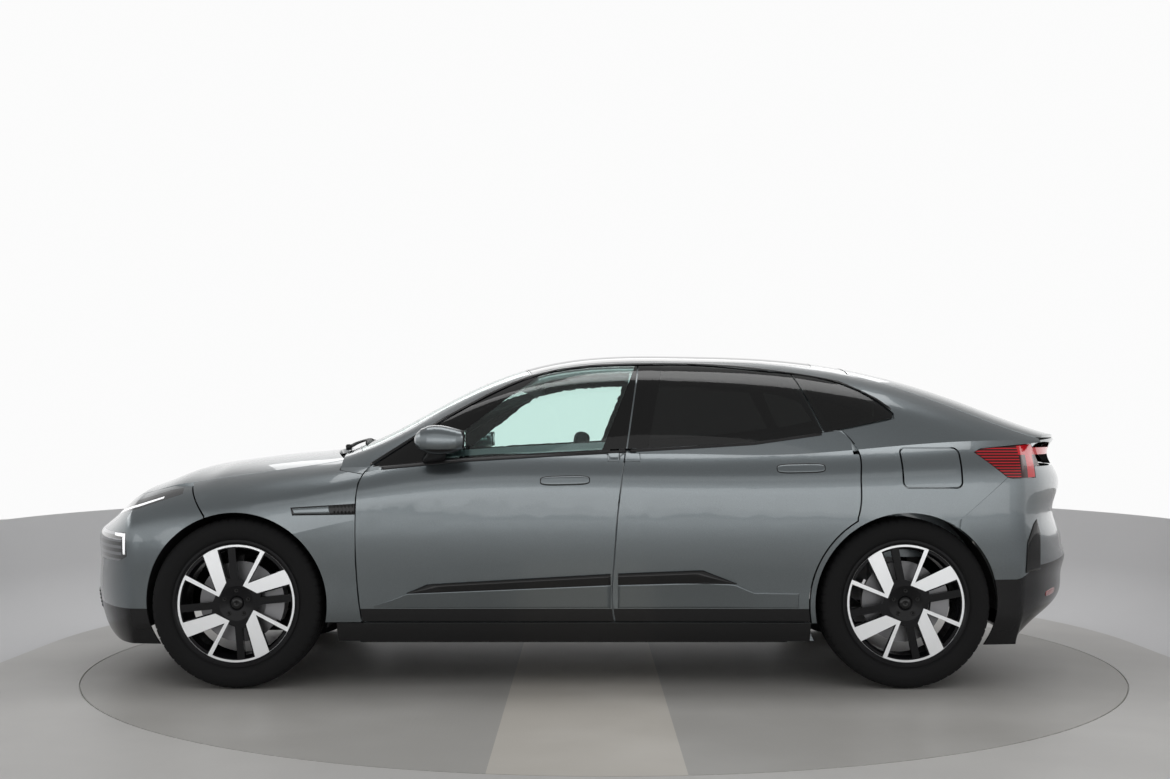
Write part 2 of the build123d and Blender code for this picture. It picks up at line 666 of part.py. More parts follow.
LAMP_INNER = 700.0
pieces["tail_lamps"] = both_sides(shell_piece(
    tail, tail_lamp_inside, side_prism(tail_lamp_outline, LAMP_INNER), cuts=[tailgate_gap]).part)
lamp_hole = shell_piece(side_prism(grown(tail_lamp_outline, SEAT), LAMP_INNER - SEAT),
                        tail_master(TAIL_LAMP_T + SEAT))

rear_bumper_outline = [
    (REAR + 234 + SEAM, 762), (REAR + 447 + SEAM, 944), (REAR + 475, 942 - SEAM),
    (REAR + 600 + SEAM, 946 - SEAM), (REAR + 600 + SEAM, LID_FOOT - SHUT),
    (BACK, LID_FOOT - SHUT), (BACK, TAIL_HEIGHTS[0]), (REAR + 160, TAIL_HEIGHTS[0])]
with BuildPart() as rear_bumper:
    add(tail)
    add(tail_inside, mode=Mode.SUBTRACT)
    add(side_prism(rear_bumper_outline, -WIDE, WIDE), mode=Mode.INTERSECT)
    add(arch_cut_rear, mode=Mode.SUBTRACT)
    mirror(arch_cut_rear, about=Plane.XZ, mode=Mode.SUBTRACT)
pieces["rear_bumper"] = rear_bumper

# ---------------------------------------------------------------- body shell
FLOOR_Z = 300.0                    # underside of the cabin floor
BATTERY_HALF = 650.0
BOOT_UNDER = 560.0                 # underside of the boot floor
CLAD_INNER = 870.0
TAIL_END = REAR + 640              # end of the structure inside the rear bumper
REAR_CORNER_Z = 350.0              # lower edge of the structure behind the rear wheels
BONNET_PIN = (FRONT + 423, 988.0)

front_door_hole = door_prism(lead_edge, b_edge, -42, FRAME_INNER - 60)
rear_door_hole = door_prism(b_edge, rear_edge, -42, FRAME_INNER - 60, arch=True)
door_beds = [door_prism(lead_edge, b_edge, SHUT, FRAME_OUTER),
             door_prism(b_edge, rear_edge, SHUT, FRAME_OUTER, arch=True)]
window_bed = window_prism((FRONT + 590, FRONT + 590), (REAR - 22, REAR - 22), EDGE)
window_holes = [window_prism((FRONT + 720, FRONT + 800), (DIVIDE[0] - 40, DIVIDE[1] - 40), -34, 560),
                window_prism((DIVIDE[0] + 40, DIVIDE[1] + 40),
                             (QUARTER[0] - 30, QUARTER[1] - 30), -34, 560),
                window_prism((QUARTER[0] + 30, QUARTER[1] + 30), (REAR - 110, REAR - 110), -26, 560)]
wing_zone = side_prism([(FRONT + 400, 100), (LEAD + 30, 100), (LEAD + 30, 930), (LEAD + 32, 959),
                        (FRONT + 400, 983)], FRAME_OUTER - 2)
wing_roll = side_prism([(FRONT + 400, 900), (LEAD + 30, 900), (LEAD + 30, 930), (LEAD + 32, 959),
                        (FRONT + 400, 983)], FRAME_OUTER - 44)
sill_zone = side_prism([(FRONT + 400, 100), (REAR - 300, 100), (REAR - 300, DOOR_FOOT_Z - SHUT - 1),
                        (FRONT + 400, DOOR_FOOT_Z - SHUT - 1)], CLAD_INNER - SEAT)

with BuildPart() as upper_room:
    add(block((FRONT + 520, REAR - 60), (-WIDE, WIDE), (1010, HEIGHT)))
    add(block((REAR - 61, REAR + 570), (-800, 800), (1010, HEIGHT)))
    add(cabin_inside, mode=Mode.INTERSECT)

with BuildPart() as window_recess:
    add(cabin)
    add(cabin_seal, mode=Mode.SUBTRACT)
    add(window_bed, mode=Mode.INTERSECT)

with BuildPart() as screen_recess:
    add(cabin)
    add(cabin_bed, mode=Mode.SUBTRACT)
    add(across(moved_out(windscreen_outline, SEAM), 900, HEIGHT + 50), mode=Mode.INTERSECT)

with BuildPart() as roof_recess:
    add(cabin)
    add(cabin_bed, mode=Mode.SUBTRACT)
    add(across(moved_out(roof_glass_outline, SEAM), 1200, HEIGHT + 50), mode=Mode.INTERSECT)

# skin behind the rear bumper and the tail lamps lies just inside them
with BuildPart() as rear_skin:
    add(side_prism([(REAR + 174, 700), (REAR + 234, 760), (REAR + 449, 945), (REAR + 310, 1058),
                    (REAR + 345, 1075), (REAR + 660, 1104), (BACK, 1104), (BACK, 100),
                    (REAR + 160, 100)], 0))
    add(tail_deep, mode=Mode.SUBTRACT)

with BuildPart() as body:
    add(cabin)
    add(block((COWL_X, TAIL_END), (-WIDE, WIDE), (0, HEIGHT + 100)), mode=Mode.INTERSECT)
    add(block((FRONT + 520, REAR - 470), (-FRAME_INNER, FRAME_INNER), (FLOOR_Z + 30, 1020)),
        mode=Mode.SUBTRACT)
    add(block((REAR - 471, REAR + 570), (40 - WELL_INNER, WELL_INNER - 40), (BOOT_UNDER + 40, 1020)),
        mode=Mode.SUBTRACT)
    add(block((REAR - 400, TAIL_END), (-WELL_INNER, WELL_INNER), (0, BOOT_UNDER)), mode=Mode.SUBTRACT)
    add(block((REAR + 380, BACK), (-WIDE, WIDE), (0, REAR_CORNER_Z)), mode=Mode.SUBTRACT)
    add(upper_room.part, mode=Mode.SUBTRACT)
    add(block((FRONT + 500, REAR - 480), (-BATTERY_HALF - SEAT, BATTERY_HALF + SEAT),
              (0, FLOOR_Z)), mode=Mode.SUBTRACT)
    add(across(moved_out(windscreen_outline, -26), 900, HEIGHT + 50), mode=Mode.SUBTRACT)
    add(across(moved_out(roof_glass_outline, -26), 1200, HEIGHT + 50), mode=Mode.SUBTRACT)
    add(screen_recess.part, mode=Mode.SUBTRACT)
    add(roof_recess.part, mode=Mode.SUBTRACT)
    add(tailgate_gap, mode=Mode.SUBTRACT)
    add(bar((BONNET_PIN[0], -745, BONNET_PIN[1]), (BONNET_PIN[0], 745, BONNET_PIN[1]), 50),
        mode=Mode.SUBTRACT)
    add(bar((LID_HINGE_X, -WELL_INNER, LID_PIN_Z), (LID_HINGE_X, WELL_INNER, LID_PIN_Z),
            LID_SWING + MOVING_GAP), mode=Mode.SUBTRACT)
    add(flap_prism(FLAP_GAP, POCKET_FLOOR), mode=Mode.SUBTRACT)

with BuildPart() as rear_well:
    add(wheel_well(REAR, ARCH_R, WELL_INNER - 4))
    add(wheel_well(REAR, WELL_R, WELL_INNER - 4, WELL_LIP))

left_cuts = ([sill_zone, wing_zone, wing_roll, rear_skin.part, lamp_hole.part, front_door_hole,
              rear_door_hole] + door_beds + window_holes + [window_recess.part, rear_well.part])
with BuildPart() as body_shell:
    add(body.part)
    for cut in left_cuts:
        add(cut, mode=Mode.SUBTRACT)
        mirror(cut, about=Plane.XZ, mode=Mode.SUBTRACT)
    # door hinges: a plate and a pin for each pocket in the doors' leading edges
    for x, y in (FRONT_PIN, REAR_PIN):
        for low, high in HINGE_LEVELS:
            with BuildPart() as hinge:
                with BuildSketch(Plane.XY.offset((low + high) / 2 - 8)):
                    with BuildLine():
                        Polyline((x - HINGE_BACK, -FRAME_OUTER + 12), (x - 18, -FRAME_OUTER + 12),
                                 (x + 6, y + 40), (x + 6, y), (x - 6, y), (x - 10, y + 40), close=True)
                    make_face()
                    with Locations((x, y)):
                        Circle(HINGE_R + 1)
                extrude(amount=16)
                with BuildSketch(Plane.XY.offset(low - PIN_END)):
                    with Locations((x, y)):
                        Circle(HINGE_R)
                extrude(amount=high - low + 2 * PIN_END)
            add(hinge.part)
            mirror(hinge.part, about=Plane.XZ)
    # tailgate hinges: two arms beside each lid lug, rooted in the roof header
    for side in (-1, 1):
        for arm_side in (-1, 1):
            arm = sorted(side * LID_HINGE_Y + arm_side * place for place in LID_ARMS)
            add(block((LID_HINGE_X - 6, LID_HINGE_X + 6), arm, (LID_PIN_Z - 52, LID_PIN_Z)))
            add(block((LID_HINGE_X - 75, LID_HINGE_X + 6), arm, (LID_PIN_Z - 52, LID_PIN_Z - 38)))
            add(block((LID_HINGE_X - 75, LID_HINGE_X - LID_SWING - MOVING_GAP), arm,
                      (LID_PIN_Z - 52, LID_PIN_Z - 20)))
            add(bar((LID_HINGE_X, arm[0], LID_PIN_Z), (LID_HINGE_X, arm[1], LID_PIN_Z), 6))
        add(bar((LID_HINGE_X, side * LID_HINGE_Y - 35, LID_PIN_Z),
                (LID_HINGE_X, side * LID_HINGE_Y + 35, LID_PIN_Z), HINGE_R))
    # charge flap hinge
    add(beside_pin(-FLAP_ARM, FLAP_ARM, 4, 4, (0, 118)))
    add(bar(FLAP_PIN - FLAP_AXIS * FLAP_ARM, FLAP_PIN + FLAP_AXIS * FLAP_ARM, 4))
    add(bar(FLAP_PIN - FLAP_AXIS * 32, FLAP_PIN + FLAP_AXIS * 32, FLAP_PIN_R))
pieces["body_shell"] = body_shell

pieces["windscreen"] = shell_piece(cabin, cabin_glass, across(windscreen_outline, 900, 1600))
pieces["glass_roof"] = shell_piece(cabin, cabin_glass, across(roof_glass_outline, 1200, 1600))
pieces["sill_cladding"] = both_sides(shell_piece(
    cabin, block((FRONT, REAR), (-CLAD_INNER, CLAD_INNER), (0, 500)),
    block((COWL_X, REAR - 425), (-WIDE, 0), (SILL_Z + 2, DOOR_FOOT_Z - SHUT - 1 - SEAT))).part)

# ---------------------------------------------------------------- mirrors
MIRROR_X, MIRROR_Z = FRONT + 912, 1112.0
# the housing's sections: distance from the middle plane, width, height and rise
MIRROR_SECTIONS = ((906, 150, 84, -8), (930, 204, 116, -2), (985, 224, 130, 0), (1035, 204, 116, -2),
                   (1069, 140, 78, -8))
with BuildPart() as left_mirror:
    for reach, wide, tall, lift in MIRROR_SECTIONS:
        with BuildSketch(Plane.XZ.offset(reach)):
            with Locations((MIRROR_X, MIRROR_Z + lift)):
                RectangleRounded(wide, tall, tall / 2.2)
    loft()
    with BuildSketch(Plane.XY.offset(992)):
        with Locations((MIRROR_X - 27, -935)):
            RectangleRounded(90, 60, 20)
    extrude(amount=80)
    add(Pos(0, -.5, 0) * cabin, mode=Mode.SUBTRACT)
pieces["left_mirror"] = left_mirror
pieces["right_mirror"] = mirror_image(left_mirror.part)

# ---------------------------------------------------------------- bonnet
BONNET_T = 22.0
BONNET_LUG = (676.0, 698.0)        # each hinge lug, from the middle plane
SPLIT_X = FRONT_STATIONS[1] + .2 * (FRONT_STATIONS[0] - FRONT_STATIONS[1])
nose_lid_inside = nose_master(BONNET_T)
bonnet_block = across(bonnet_outline, 640, 1300)
bonnet_gap = across(moved_out(bonnet_outline, SHUT), 600, 1300)

with BuildPart() as bonnet_front:
    add(nose)
    add(nose_lid_inside, mode=Mode.SUBTRACT)
    add(bonnet_block, mode=Mode.INTERSECT)
    add(block((NOSE - 10, SPLIT_X), (-WIDE, WIDE), (600, 1300)), mode=Mode.INTERSECT)

with BuildPart() as lugs:
    for side in (-1, 1):
        with BuildSketch(Plane.XZ.offset(-side * BONNET_LUG[0])):
            with Locations(BONNET_PIN):
                Circle(12)
            with Locations((BONNET_PIN[0], BONNET_PIN[1] + 14)):
                Rectangle(24, 28)
        extrude(amount=-side * (BONNET_LUG[1] - BONNET_LUG[0]))
    add(front_inside, mode=Mode.INTERSECT)

with BuildPart() as bonnet:
    add(front)
    add(lid_inside, mode=Mode.SUBTRACT)
    add(bonnet_block, mode=Mode.INTERSECT)
    add(block((SPLIT_X, FRONT + 600), (-WIDE, WIDE), (600, 1300)), mode=Mode.INTERSECT)
    add(bonnet_front.part)
    add(lugs.part)
    add(bar((BONNET_PIN[0], -WIDE, BONNET_PIN[1]), (BONNET_PIN[0], WIDE, BONNET_PIN[1]),
            HINGE_R + FIT), mode=Mode.SUBTRACT)
pieces["bonnet"] = bonnet

# ---------------------------------------------------------------- front wings, lamps and bumper
wing_block = side_prism([
    (FRONT - 262, 945), (FRONT - 137, 775), (FRONT - 137, DOOR_FOOT_Z - SHUT + 3),
    (LEAD + 23 - SHUT, DOOR_FOOT_Z - SHUT + 3), (LEAD + 8 - SHUT, 420), (LEAD - SHUT, 560),
    (LEAD - SHUT, 850), (LEAD + 8 - SHUT, 920), (LEAD + 23 - SHUT, 958),
    (COWL_X - SEAM, 975), (COWL_X - SEAM, 1200), (FRONT - 262, 1200)], 716)
wing = shell_piece(front, front_inside, wing_block, cuts=[bonnet_gap, arch_cut_front])
pieces["front_wings"] = both_sides(wing.part)

LAMP_T = 60.0
nose_lamp_inside = nose_master(LAMP_T)
bumper_outline = [
    (NOSE - 20, NOSE_HEIGHTS[0]), (FRONT - 140 - SEAM, NOSE_HEIGHTS[0]), (FRONT - 140 - SEAM, 770),
    (FRONT - 264 - SEAM, 940), (NOSE - 20, 940)]
upper_lamp_outline = [
    (NOSE - 20, 706), (NOSE + 120, 733), (FRONT - 470, 800), (FRONT - 262 - SEAM, 868),
    (FRONT - 270 - SEAM, 893), (FRONT - 330, 884), (FRONT - 500, 832), (NOSE + 150, 752),
    (NOSE - 20, 724)]
lower_lamp_outline = [
    (NOSE - 20, 560), (NOSE + 330, 568), (NOSE + 378, 590), (NOSE + 370, 696), (NOSE - 20, 696)]
lamp_shapes = ((upper_lamp_outline, 420.0), (lower_lamp_outline, 600.0))
with BuildPart() as headlamps:
    for outline, inner in lamp_shapes:
        lamp = shell_piece(nose, nose_lamp_inside, side_prism(outline, inner), cuts=[bonnet_gap])
        add(lamp.part)
        mirror(lamp.part, about=Plane.XZ)
pieces["headlamps"] = headlamps

with BuildPart() as front_bumper:
    add(nose)
    add(nose_inside, mode=Mode.SUBTRACT)
    add(side_prism(bumper_outline, -WIDE, WIDE), mode=Mode.INTERSECT)
    add(bonnet_gap, mode=Mode.SUBTRACT)
    for cut in [arch_cut_front] + [side_prism(grown(outline, SEAT), inner - SEAT)
                                   for outline, inner in lamp_shapes]:
        add(cut, mode=Mode.SUBTRACT)
        mirror(cut, about=Plane.XZ, mode=Mode.SUBTRACT)
pieces["front_bumper"] = front_bumper

# ---------------------------------------------------------------- front structure
RAIL = (420.0, 490.0)              # each rail's faces, from the middle plane
RAIL_Z = (561.0, 670.0)
TUB_Z = (RAIL_Z[0], 930.0)
lid_low = Pos(0, 0, -8) * lid_inside
front_deep = front_master(SKIN + SEAT)
with BuildPart() as apron:
    add(front_deep)
    add(block((FRONT - 180, COWL_X - SEAT), (-WIDE, WIDE), (855, 862)), mode=Mode.INTERSECT)
    add(block((FRONT - 400, FRONT + 600), (-RAIL[1] + 5, RAIL[1] - 5), (800, 900)), mode=Mode.SUBTRACT)
with BuildPart() as nose_plate:
    add(nose_master(SKIN + SEAT))
    add(block((NOSE, FRONT - 350), (-590, 590), (640, 646)), mode=Mode.INTERSECT)
    add(block((NOSE + 330, FRONT), (-RAIL[0] + 10, RAIL[0] - 10), (600, 700)), mode=Mode.SUBTRACT)
with BuildPart() as cowl:
    add(lid_low)
    add(block((FRONT + 352, COWL_X - SEAT), (-380, 380), (980, 1100)), mode=Mode.INTERSECT)
    add(Pos(0, 0, -6) * lid_low, mode=Mode.SUBTRACT)
with BuildPart() as front_frame:
    add(apron.part)
    add(nose_plate.part)
    add(cowl.part)
    add(block((FRONT + 324, FRONT + 358), (-380, 380), (924, 930)))
    add(block((FRONT + 352, FRONT + 358), (-380, 380), (924, 1030)))
    add(block((NOSE + 200, NOSE + 260), (-600, 600), (430, RAIL_Z[0])))
    for side in (-1, 1):
        add(block((NOSE + 200, COWL_X - SEAT), sorted((side * RAIL[0], side * RAIL[1])), RAIL_Z))
        add(block((FRONT - 120, FRONT + 120), sorted((side * 395, side * RAIL[1])), (640, 900)))
        add(block((FRONT - 330, FRONT + 330), sorted((side * 390, side * (RAIL[0] + 5))), (650, 662)))
        # bonnet hinge bracket and pin
        arm = sorted((side * (BONNET_LUG[1] + 3), side * (BONNET_LUG[1] + 13)))
        add(block((BONNET_PIN[0] - 7, BONNET_PIN[0] + 7), arm, (856, BONNET_PIN[1])))
        add(bar((BONNET_PIN[0], arm[0], BONNET_PIN[1]), (BONNET_PIN[0], arm[1], BONNET_PIN[1]), 7))
        pin = sorted((side * (BONNET_LUG[0] - 2), side * (BONNET_LUG[1] + 13)))
        add(bar((BONNET_PIN[0], pin[0], BONNET_PIN[1]), (BONNET_PIN[0], pin[1], BONNET_PIN[1]), HINGE_R))
    add(block((FRONT - 330, FRONT + 330), (-400, 400), TUB_Z))
    add(block((FRONT - 324, FRONT + 324), (-394, 394), (TUB_Z[0] + 6, TUB_Z[1] + 1)), mode=Mode.SUBTRACT)
    add(block((FRONT - 220, FRONT + 325), (-420, 420), (TUB_Z[1], TUB_Z[1] + 200)), mode=Mode.SUBTRACT)
pieces["front_frame"] = front_frame

# ---------------------------------------------------------------- wheel arch liners
def ring(axle_x, radii, y, foot):
    """Left-side hoop about an axle, down to a height above the floor."""
    with BuildPart() as hoop:
        with BuildSketch(Plane.XZ.offset(y[0])):
            with Locations((axle_x, AXLE_Z)):
                Circle(radii[1])
                Circle(radii[0], mode=Mode.SUBTRACT)
        extrude(amount=y[1] - y[0])
        add(block((axle_x - 500, axle_x + 500), (-WIDE, 0), (foot, 900)), mode=Mode.INTERSECT)
    return hoop.part


with BuildPart() as liner:
    add(ring(FRONT, (ARCH_R + 8, ARCH_R + 14), (RAIL[1] + SEAT, 1000), AXLE_Z - 110))
    add(front_master(SKIN + 2), mode=Mode.INTERSECT)
with BuildPart() as wheel_arch_liners:
    for part in (liner.part, ring(REAR, (WELL_R - 6, WELL_R - SEAT),
                                  (WELL_INNER + SEAT, WELL_LIP - 4), AXLE_Z - 40)):
        add(part)
        mirror(part, about=Plane.XZ)
pieces["wheel_arch_liners"] = wheel_arch_liners

# ---------------------------------------------------------------- battery and interior
with BuildPart() as battery_pack:
    with BuildSketch(Plane.XY.offset(166)):
        with Locations(((FRONT + REAR + 20) / 2, 0)):
            RectangleRounded(REAR - FRONT - 990, 2 * BATTERY_HALF, 30)
    extrude(amount=FLOOR_Z - SEAT - 166)
pieces["battery_pack"] = battery_pack

DASH_X = FRONT + 520 + SEAT
with BuildPart() as dashboard:
    with BuildSketch(Plane.XZ.offset(-760)):
        with BuildLine():
            Polyline((DASH_X, 700), (DASH_X, 975), (DASH_X + 120, 985), (DASH_X + 300, 965),
                     (DASH_X + 345, 925), (DASH_X + 330, 860), (DASH_X + 240, 820),
                     (DASH_X + 200, 700), close=True)
        make_face()
    extrude(amount=1520)
pieces["dashboard"] = dashboard

WHEEL_AT = (FRONT + 985, -380.0, 905.0)
STEER_TILT = 25.0
with BuildPart() as steering_wheel:
    face = Plane(origin=WHEEL_AT, x_dir=(0, 1, 0), z_dir=(cos(radians(STEER_TILT)), 0, sin(radians(STEER_TILT))))
    with BuildSketch(face):
        Circle(185)
        Circle(158, mode=Mode.SUBTRACT)
        Circle(58)
        Rectangle(330, 34)
        with Locations((0, -90)):
            Rectangle(34, 160)
    extrude(amount=26)
    column = Vector(*WHEEL_AT) - face.z_dir * 175
    add(bar(Vector(*WHEEL_AT) + face.z_dir * 5, column, 26))
    add(Pos(SEAT, 0, 0) * dashboard.part, mode=Mode.SUBTRACT)
pieces["steering_wheel"] = steering_wheel


def seat_solid(outline, middle, width):
    """One seat, drawn in side view and as wide as it needs to be."""
    with BuildPart() as seat:
        with BuildSketch(Plane.XZ.offset(-middle - width / 2)):
            with BuildLine():
                Polyline(*outline, close=True)
            make_face()
        extrude(amount=width)
    return seat.part


SEAT_FOOT = FLOOR_Z + 30 + SEAT
front_seat = [(-590, SEAT_FOOT), (-620, 560), (-625, 620), (-590, 655), (-200, 630), (-120, 860),
              (-60, 1090), (-30, 1150), (15, 1160), (40, 1110), (0, 880), (-70, 620), (-90, SEAT_FOOT)]
rear_seat = [(550, SEAT_FOOT), (520, 560), (530, 630), (570, 660), (840, 620), (880, 800),
             (925, 985), (960, 1000), (974, 960), (974, SEAT_FOOT)]
with BuildPart() as seats:
    for outline, middle, width in ((front_seat, -380, 520), (front_seat, 380, 520), (rear_seat, 0, 1300)):
        add(seat_solid(outline, middle, width))
pieces["seats"] = seats


# ---------------------------------------------------------------- wheels
HUB_FACE = 66.0                    # wheel's mounting face, outboard of its middle plane
SPOKE_FACE, SPOKE_BACK = 105.0, 80.0
LAND = 2.0                         # height of the bright machined faces
LAND_R = 262.0                     # their outer edge
ARC_START, ARC_SPAN, ARC_WIDE = -20.5, 47.0, 9.0
WINDOW_R = 248.0                   # outer edge of the windows between the spokes
DISC_OUT, DISC_IN = 30.0, 2.0      # brake disc faces, outboard of the middle plane
RUN = 5.0                          # clearance of the caliper from the disc
KNUCKLE = (8.0, 42.0)              # knuckle web, inboard of the middle plane
BOSS = 150.0                       # kingpin bosses' outer faces, above and below the axle
PIN_R = 10.0
STUB_END = 60.0                    # the stub axle's outer end, outboard of the wheel's middle
PIN_DEEP = 34.0                    # depth of the kingpin bores
ARM_T = 15.0
WHEEL_TURN = {"front": -5.0, "rear": 0.0}

# one quarter of the wheel's face, as shares of the rim radius, seen from outside
blade = [(.08, .283), (.312, .188), (.884, .406), (.86, .45), (.768, .623), (.152, .326)]
thin_arm = [(.08, .283), (.152, .326), (.397, .90), (.355, .935), (.335, .93)]
window_in_vee = [(.158, .345), (.392, .865), (.60, .745), (.742, .605)]
window_by_blade = [(.37, .188), (.866, .375), (.92, .31), (.925, .235), (.37, .128)]
window_by_spoke = [(.37, .012), (.924, .112), (.935, -.10), (.885, -.318), (.33, -.118)]


def quarters(points, turn):
    """The outline at full size in each quarter of the wheel, turned by an angle."""
    for angle in (radians(turn + 90 * k) for k in range(4)):
        yield [((x * cos(angle) - z * sin(angle)) * RIM_R, (x * sin(angle) + z * cos(angle)) * RIM_R)
               for x, z in points]


def polar(radius, angle):
    return (radius * cos(radians(angle)), radius * sin(radians(angle)))


def ring_point(x, radius, angle):
    return (x + radius * cos(radians(angle)), AXLE_Z + radius * sin(radians(angle)))


rims, tyres, discs = {}, {}, {}
for end, turn in WHEEL_TURN.items():
    with BuildPart() as rim:
        with BuildSketch(Plane.XY):
            with BuildLine():
                Polyline((RIM_R, -114), (RIM_R, -107.5), (BEAD_R, -106), (BEAD_R, -76),
                         (246, -62), (246, 52), (BEAD_R, 76), (BEAD_R, 106),
                         (RIM_R, 107.5), (RIM_R, 114), (BEAD_R - 9, 114), (BEAD_R - 9, 80),
                         (238, 50), (238, -60), (252, -82), (262, -108), (274, -114),
                         close=True)
            make_face()
        revolve(axis=Axis.Y)
        with BuildSketch(Plane.XY):
            with BuildLine():
                Polyline((0, -92), (26, -92), (34, -98), (78, -SPOKE_FACE), (264, -SPOKE_FACE),
                         (254, -SPOKE_BACK), (80, -SPOKE_BACK), (74, -HUB_FACE), (0, -HUB_FACE),
                         close=True)
            make_face()
        revolve(axis=Axis.Y)
        with BuildSketch(Plane.XZ.offset(SPOKE_BACK - 2)):
            for window in (window_in_vee, window_by_blade, window_by_spoke):
                for outline in quarters(window, turn):
                    with BuildLine():
                        Polyline(*outline, close=True)
                    make_face()
            Circle(WINDOW_R, mode=Mode.INTERSECT)
        extrude(amount=60, mode=Mode.SUBTRACT)
        with BuildSketch(Plane.XZ.offset(SPOKE_FACE - 1)):
            for land in (blade, thin_arm):
                for outline in quarters(land, turn):
                    with BuildLine():
                        Polyline(*outline, close=True)
                    make_face()
            for start in (turn + ARC_START + 90 * k for k in range(4)):
                with BuildLine():
                    CenterArc((0, 0), LAND_R, start, ARC_SPAN)
                    CenterArc((0, 0), LAND_R - ARC_WIDE, start, ARC_SPAN)
                    for angle in (start, start + ARC_SPAN):
                        Line(polar(LAND_R, angle), polar(LAND_R - ARC_WIDE, angle))
                make_face()
            Circle(LAND_R, mode=Mode.INTERSECT)
        extrude(amount=LAND + 1)
    rims[end] = rim

    with BuildPart() as disc:
        with BuildSketch(Plane.XY):
            with BuildLine():
                Polyline((STUB_R + FIT, -HUB_FACE + SEAT / 10), (76, -HUB_FACE + SEAT / 10), (88, -56),
                         (88, -DISC_OUT), (DISC_R, -DISC_OUT), (DISC_R, -DISC_IN), (80, -DISC_IN),
                         (80, -50), (52, -54), (52, 2), (STUB_R + FIT, 2), close=True)
            make_face()
        revolve(axis=Axis.Y)
    discs[end] = disc

with BuildPart() as tyre:
    with BuildSketch(Plane.XY):
        with BuildLine():
            inner = [(96, BEAD_R + SEAT), (95, 292), (116, 326), (108, 354), (88, 367)]
            outer = [(106, BEAD_R + SEAT), (106.5, RIM_R + 1), (127.5, 325), (122, 357), (102, 376)]
            right = [(r, y) for y, r in outer]
            Line(right[0], right[1])
            Spline(*right[1:4])
            Spline(right[3], right[4], (TYRE_R, 60))
            Line((TYRE_R, 60), (TYRE_R, -60))
            Spline((TYRE_R, -60), (376, -102), (357, -122))
            Spline((357, -122), (325, -127.5), (RIM_R + 1, -106.5))
            Line((RIM_R + 1, -106.5), (BEAD_R + SEAT, -106))
            Polyline((BEAD_R + SEAT, -106), (BEAD_R + SEAT, -96), (292, -95), (326, -116),
                     (354, -108), (367, -88), (370, -40), (370, 40), (367, 88), (354, 108),
                     (326, 116), (292, 95), (BEAD_R + SEAT, 96), (BEAD_R + SEAT, 106))
        make_face()
    revolve(axis=Axis.Y)

WHEELS = {"front_left": (FRONT, -1), "front_right": (FRONT, 1),
          "rear_left": (REAR, -1), "rear_right": (REAR, 1)}
for corner, (x, side) in WHEELS.items():
    end = corner.split("_")[0]
    for node, source in (("rim", rims[end]), ("tyre", tyre), ("brake_disc", discs[end])):
        with BuildPart() as placed:
            with Locations((x, -WHEEL_Y, AXLE_Z)):
                add(source.part)
        pieces[f"{corner}_{node}"] = placed if side < 0 else mirror_image(placed.part)

# ---------------------------------------------------------------- hub carriers
def at_wheel(x, y, z):
    """A point of the left wheel from its middle, inboard positive."""
    return (x, -WHEEL_Y + y, AXLE_Z + z)


def carrier(axle_x, steered):
    """Stub axle, web and caliper; a steered one also has kingpin bosses."""
    web_mid, web_deep = sum(KNUCKLE) / 2, KNUCKLE[1] - KNUCKLE[0]
    with BuildPart() as hub:
        with BuildSketch(Plane.XZ.offset(WHEEL_Y - KNUCKLE[1])):
            with Locations((axle_x, AXLE_Z)):
                Circle(62)
                RectangleRounded(64, 2 * BOSS, 12)
        extrude(amount=web_deep)
        # caliper: bridge over the disc, with a slot that the disc runs in
        with BuildSketch(Plane.XZ.offset(WHEEL_Y - 32)):
            with BuildLine():
                CenterArc((axle_x, AXLE_Z), DISC_R + 24, -24, 48)
                CenterArc((axle_x, AXLE_Z), DISC_R - 58, -24, 48)
                for angle in (-24, 24):
                    Line(ring_point(axle_x, DISC_R + 24, angle), ring_point(axle_x, DISC_R - 58, angle))
            make_face()
        extrude(amount=32 + 58)
        with BuildSketch(Plane.XZ.offset(WHEEL_Y + DISC_IN - RUN)):
            with Locations((axle_x, AXLE_Z)):
                Circle(DISC_R + RUN)
        extrude(amount=DISC_OUT - DISC_IN + 2 * RUN, mode=Mode.SUBTRACT)
        with BuildSketch(Plane.XZ.offset(WHEEL_Y - 32)):
            with BuildLine():
                Polyline((axle_x + 30, AXLE_Z - 40), (axle_x + 140, AXLE_Z - 44), (axle_x + 140, AXLE_Z + 44),
                         (axle_x + 30, AXLE_Z + 40), close=True)
            make_face()
        extrude(amount=16)
        with BuildSketch(Plane.XZ.offset(WHEEL_Y - KNUCKLE[0] - 1)):
            with Locations((axle_x, AXLE_Z)):
                Circle(STUB_R)
        extrude(amount=KNUCKLE[0] + 1 + STUB_END)
        if steered:
            with BuildSketch(Plane.XY.offset(AXLE_Z - BOSS - 1)):
                with Locations((axle_x, -KINGPIN_Y)):
                    Circle(PIN_R + FIT)
            extrude(amount=PIN_DEEP + 1, mode=Mode.SUBTRACT)
            with BuildSketch(Plane.XY.offset(AXLE_Z + BOSS - PIN_DEEP)):
                with Locations((axle_x, -KINGPIN_Y)):
                    Circle(PIN_R + FIT)
            extrude(amount=PIN_DEEP + 1, mode=Mode.SUBTRACT)
    return hub


front_carrier = carrier(FRONT, True)
pieces["front_left_knuckle"] = front_carrier
pieces["front_right_knuckle"] = mirror_image(front_carrier.part)
rear_carrier = carrier(REAR, False)

# ---------------------------------------------------------------- axles and arms
SUB_HALF = 490.0                   # half width of the subframes


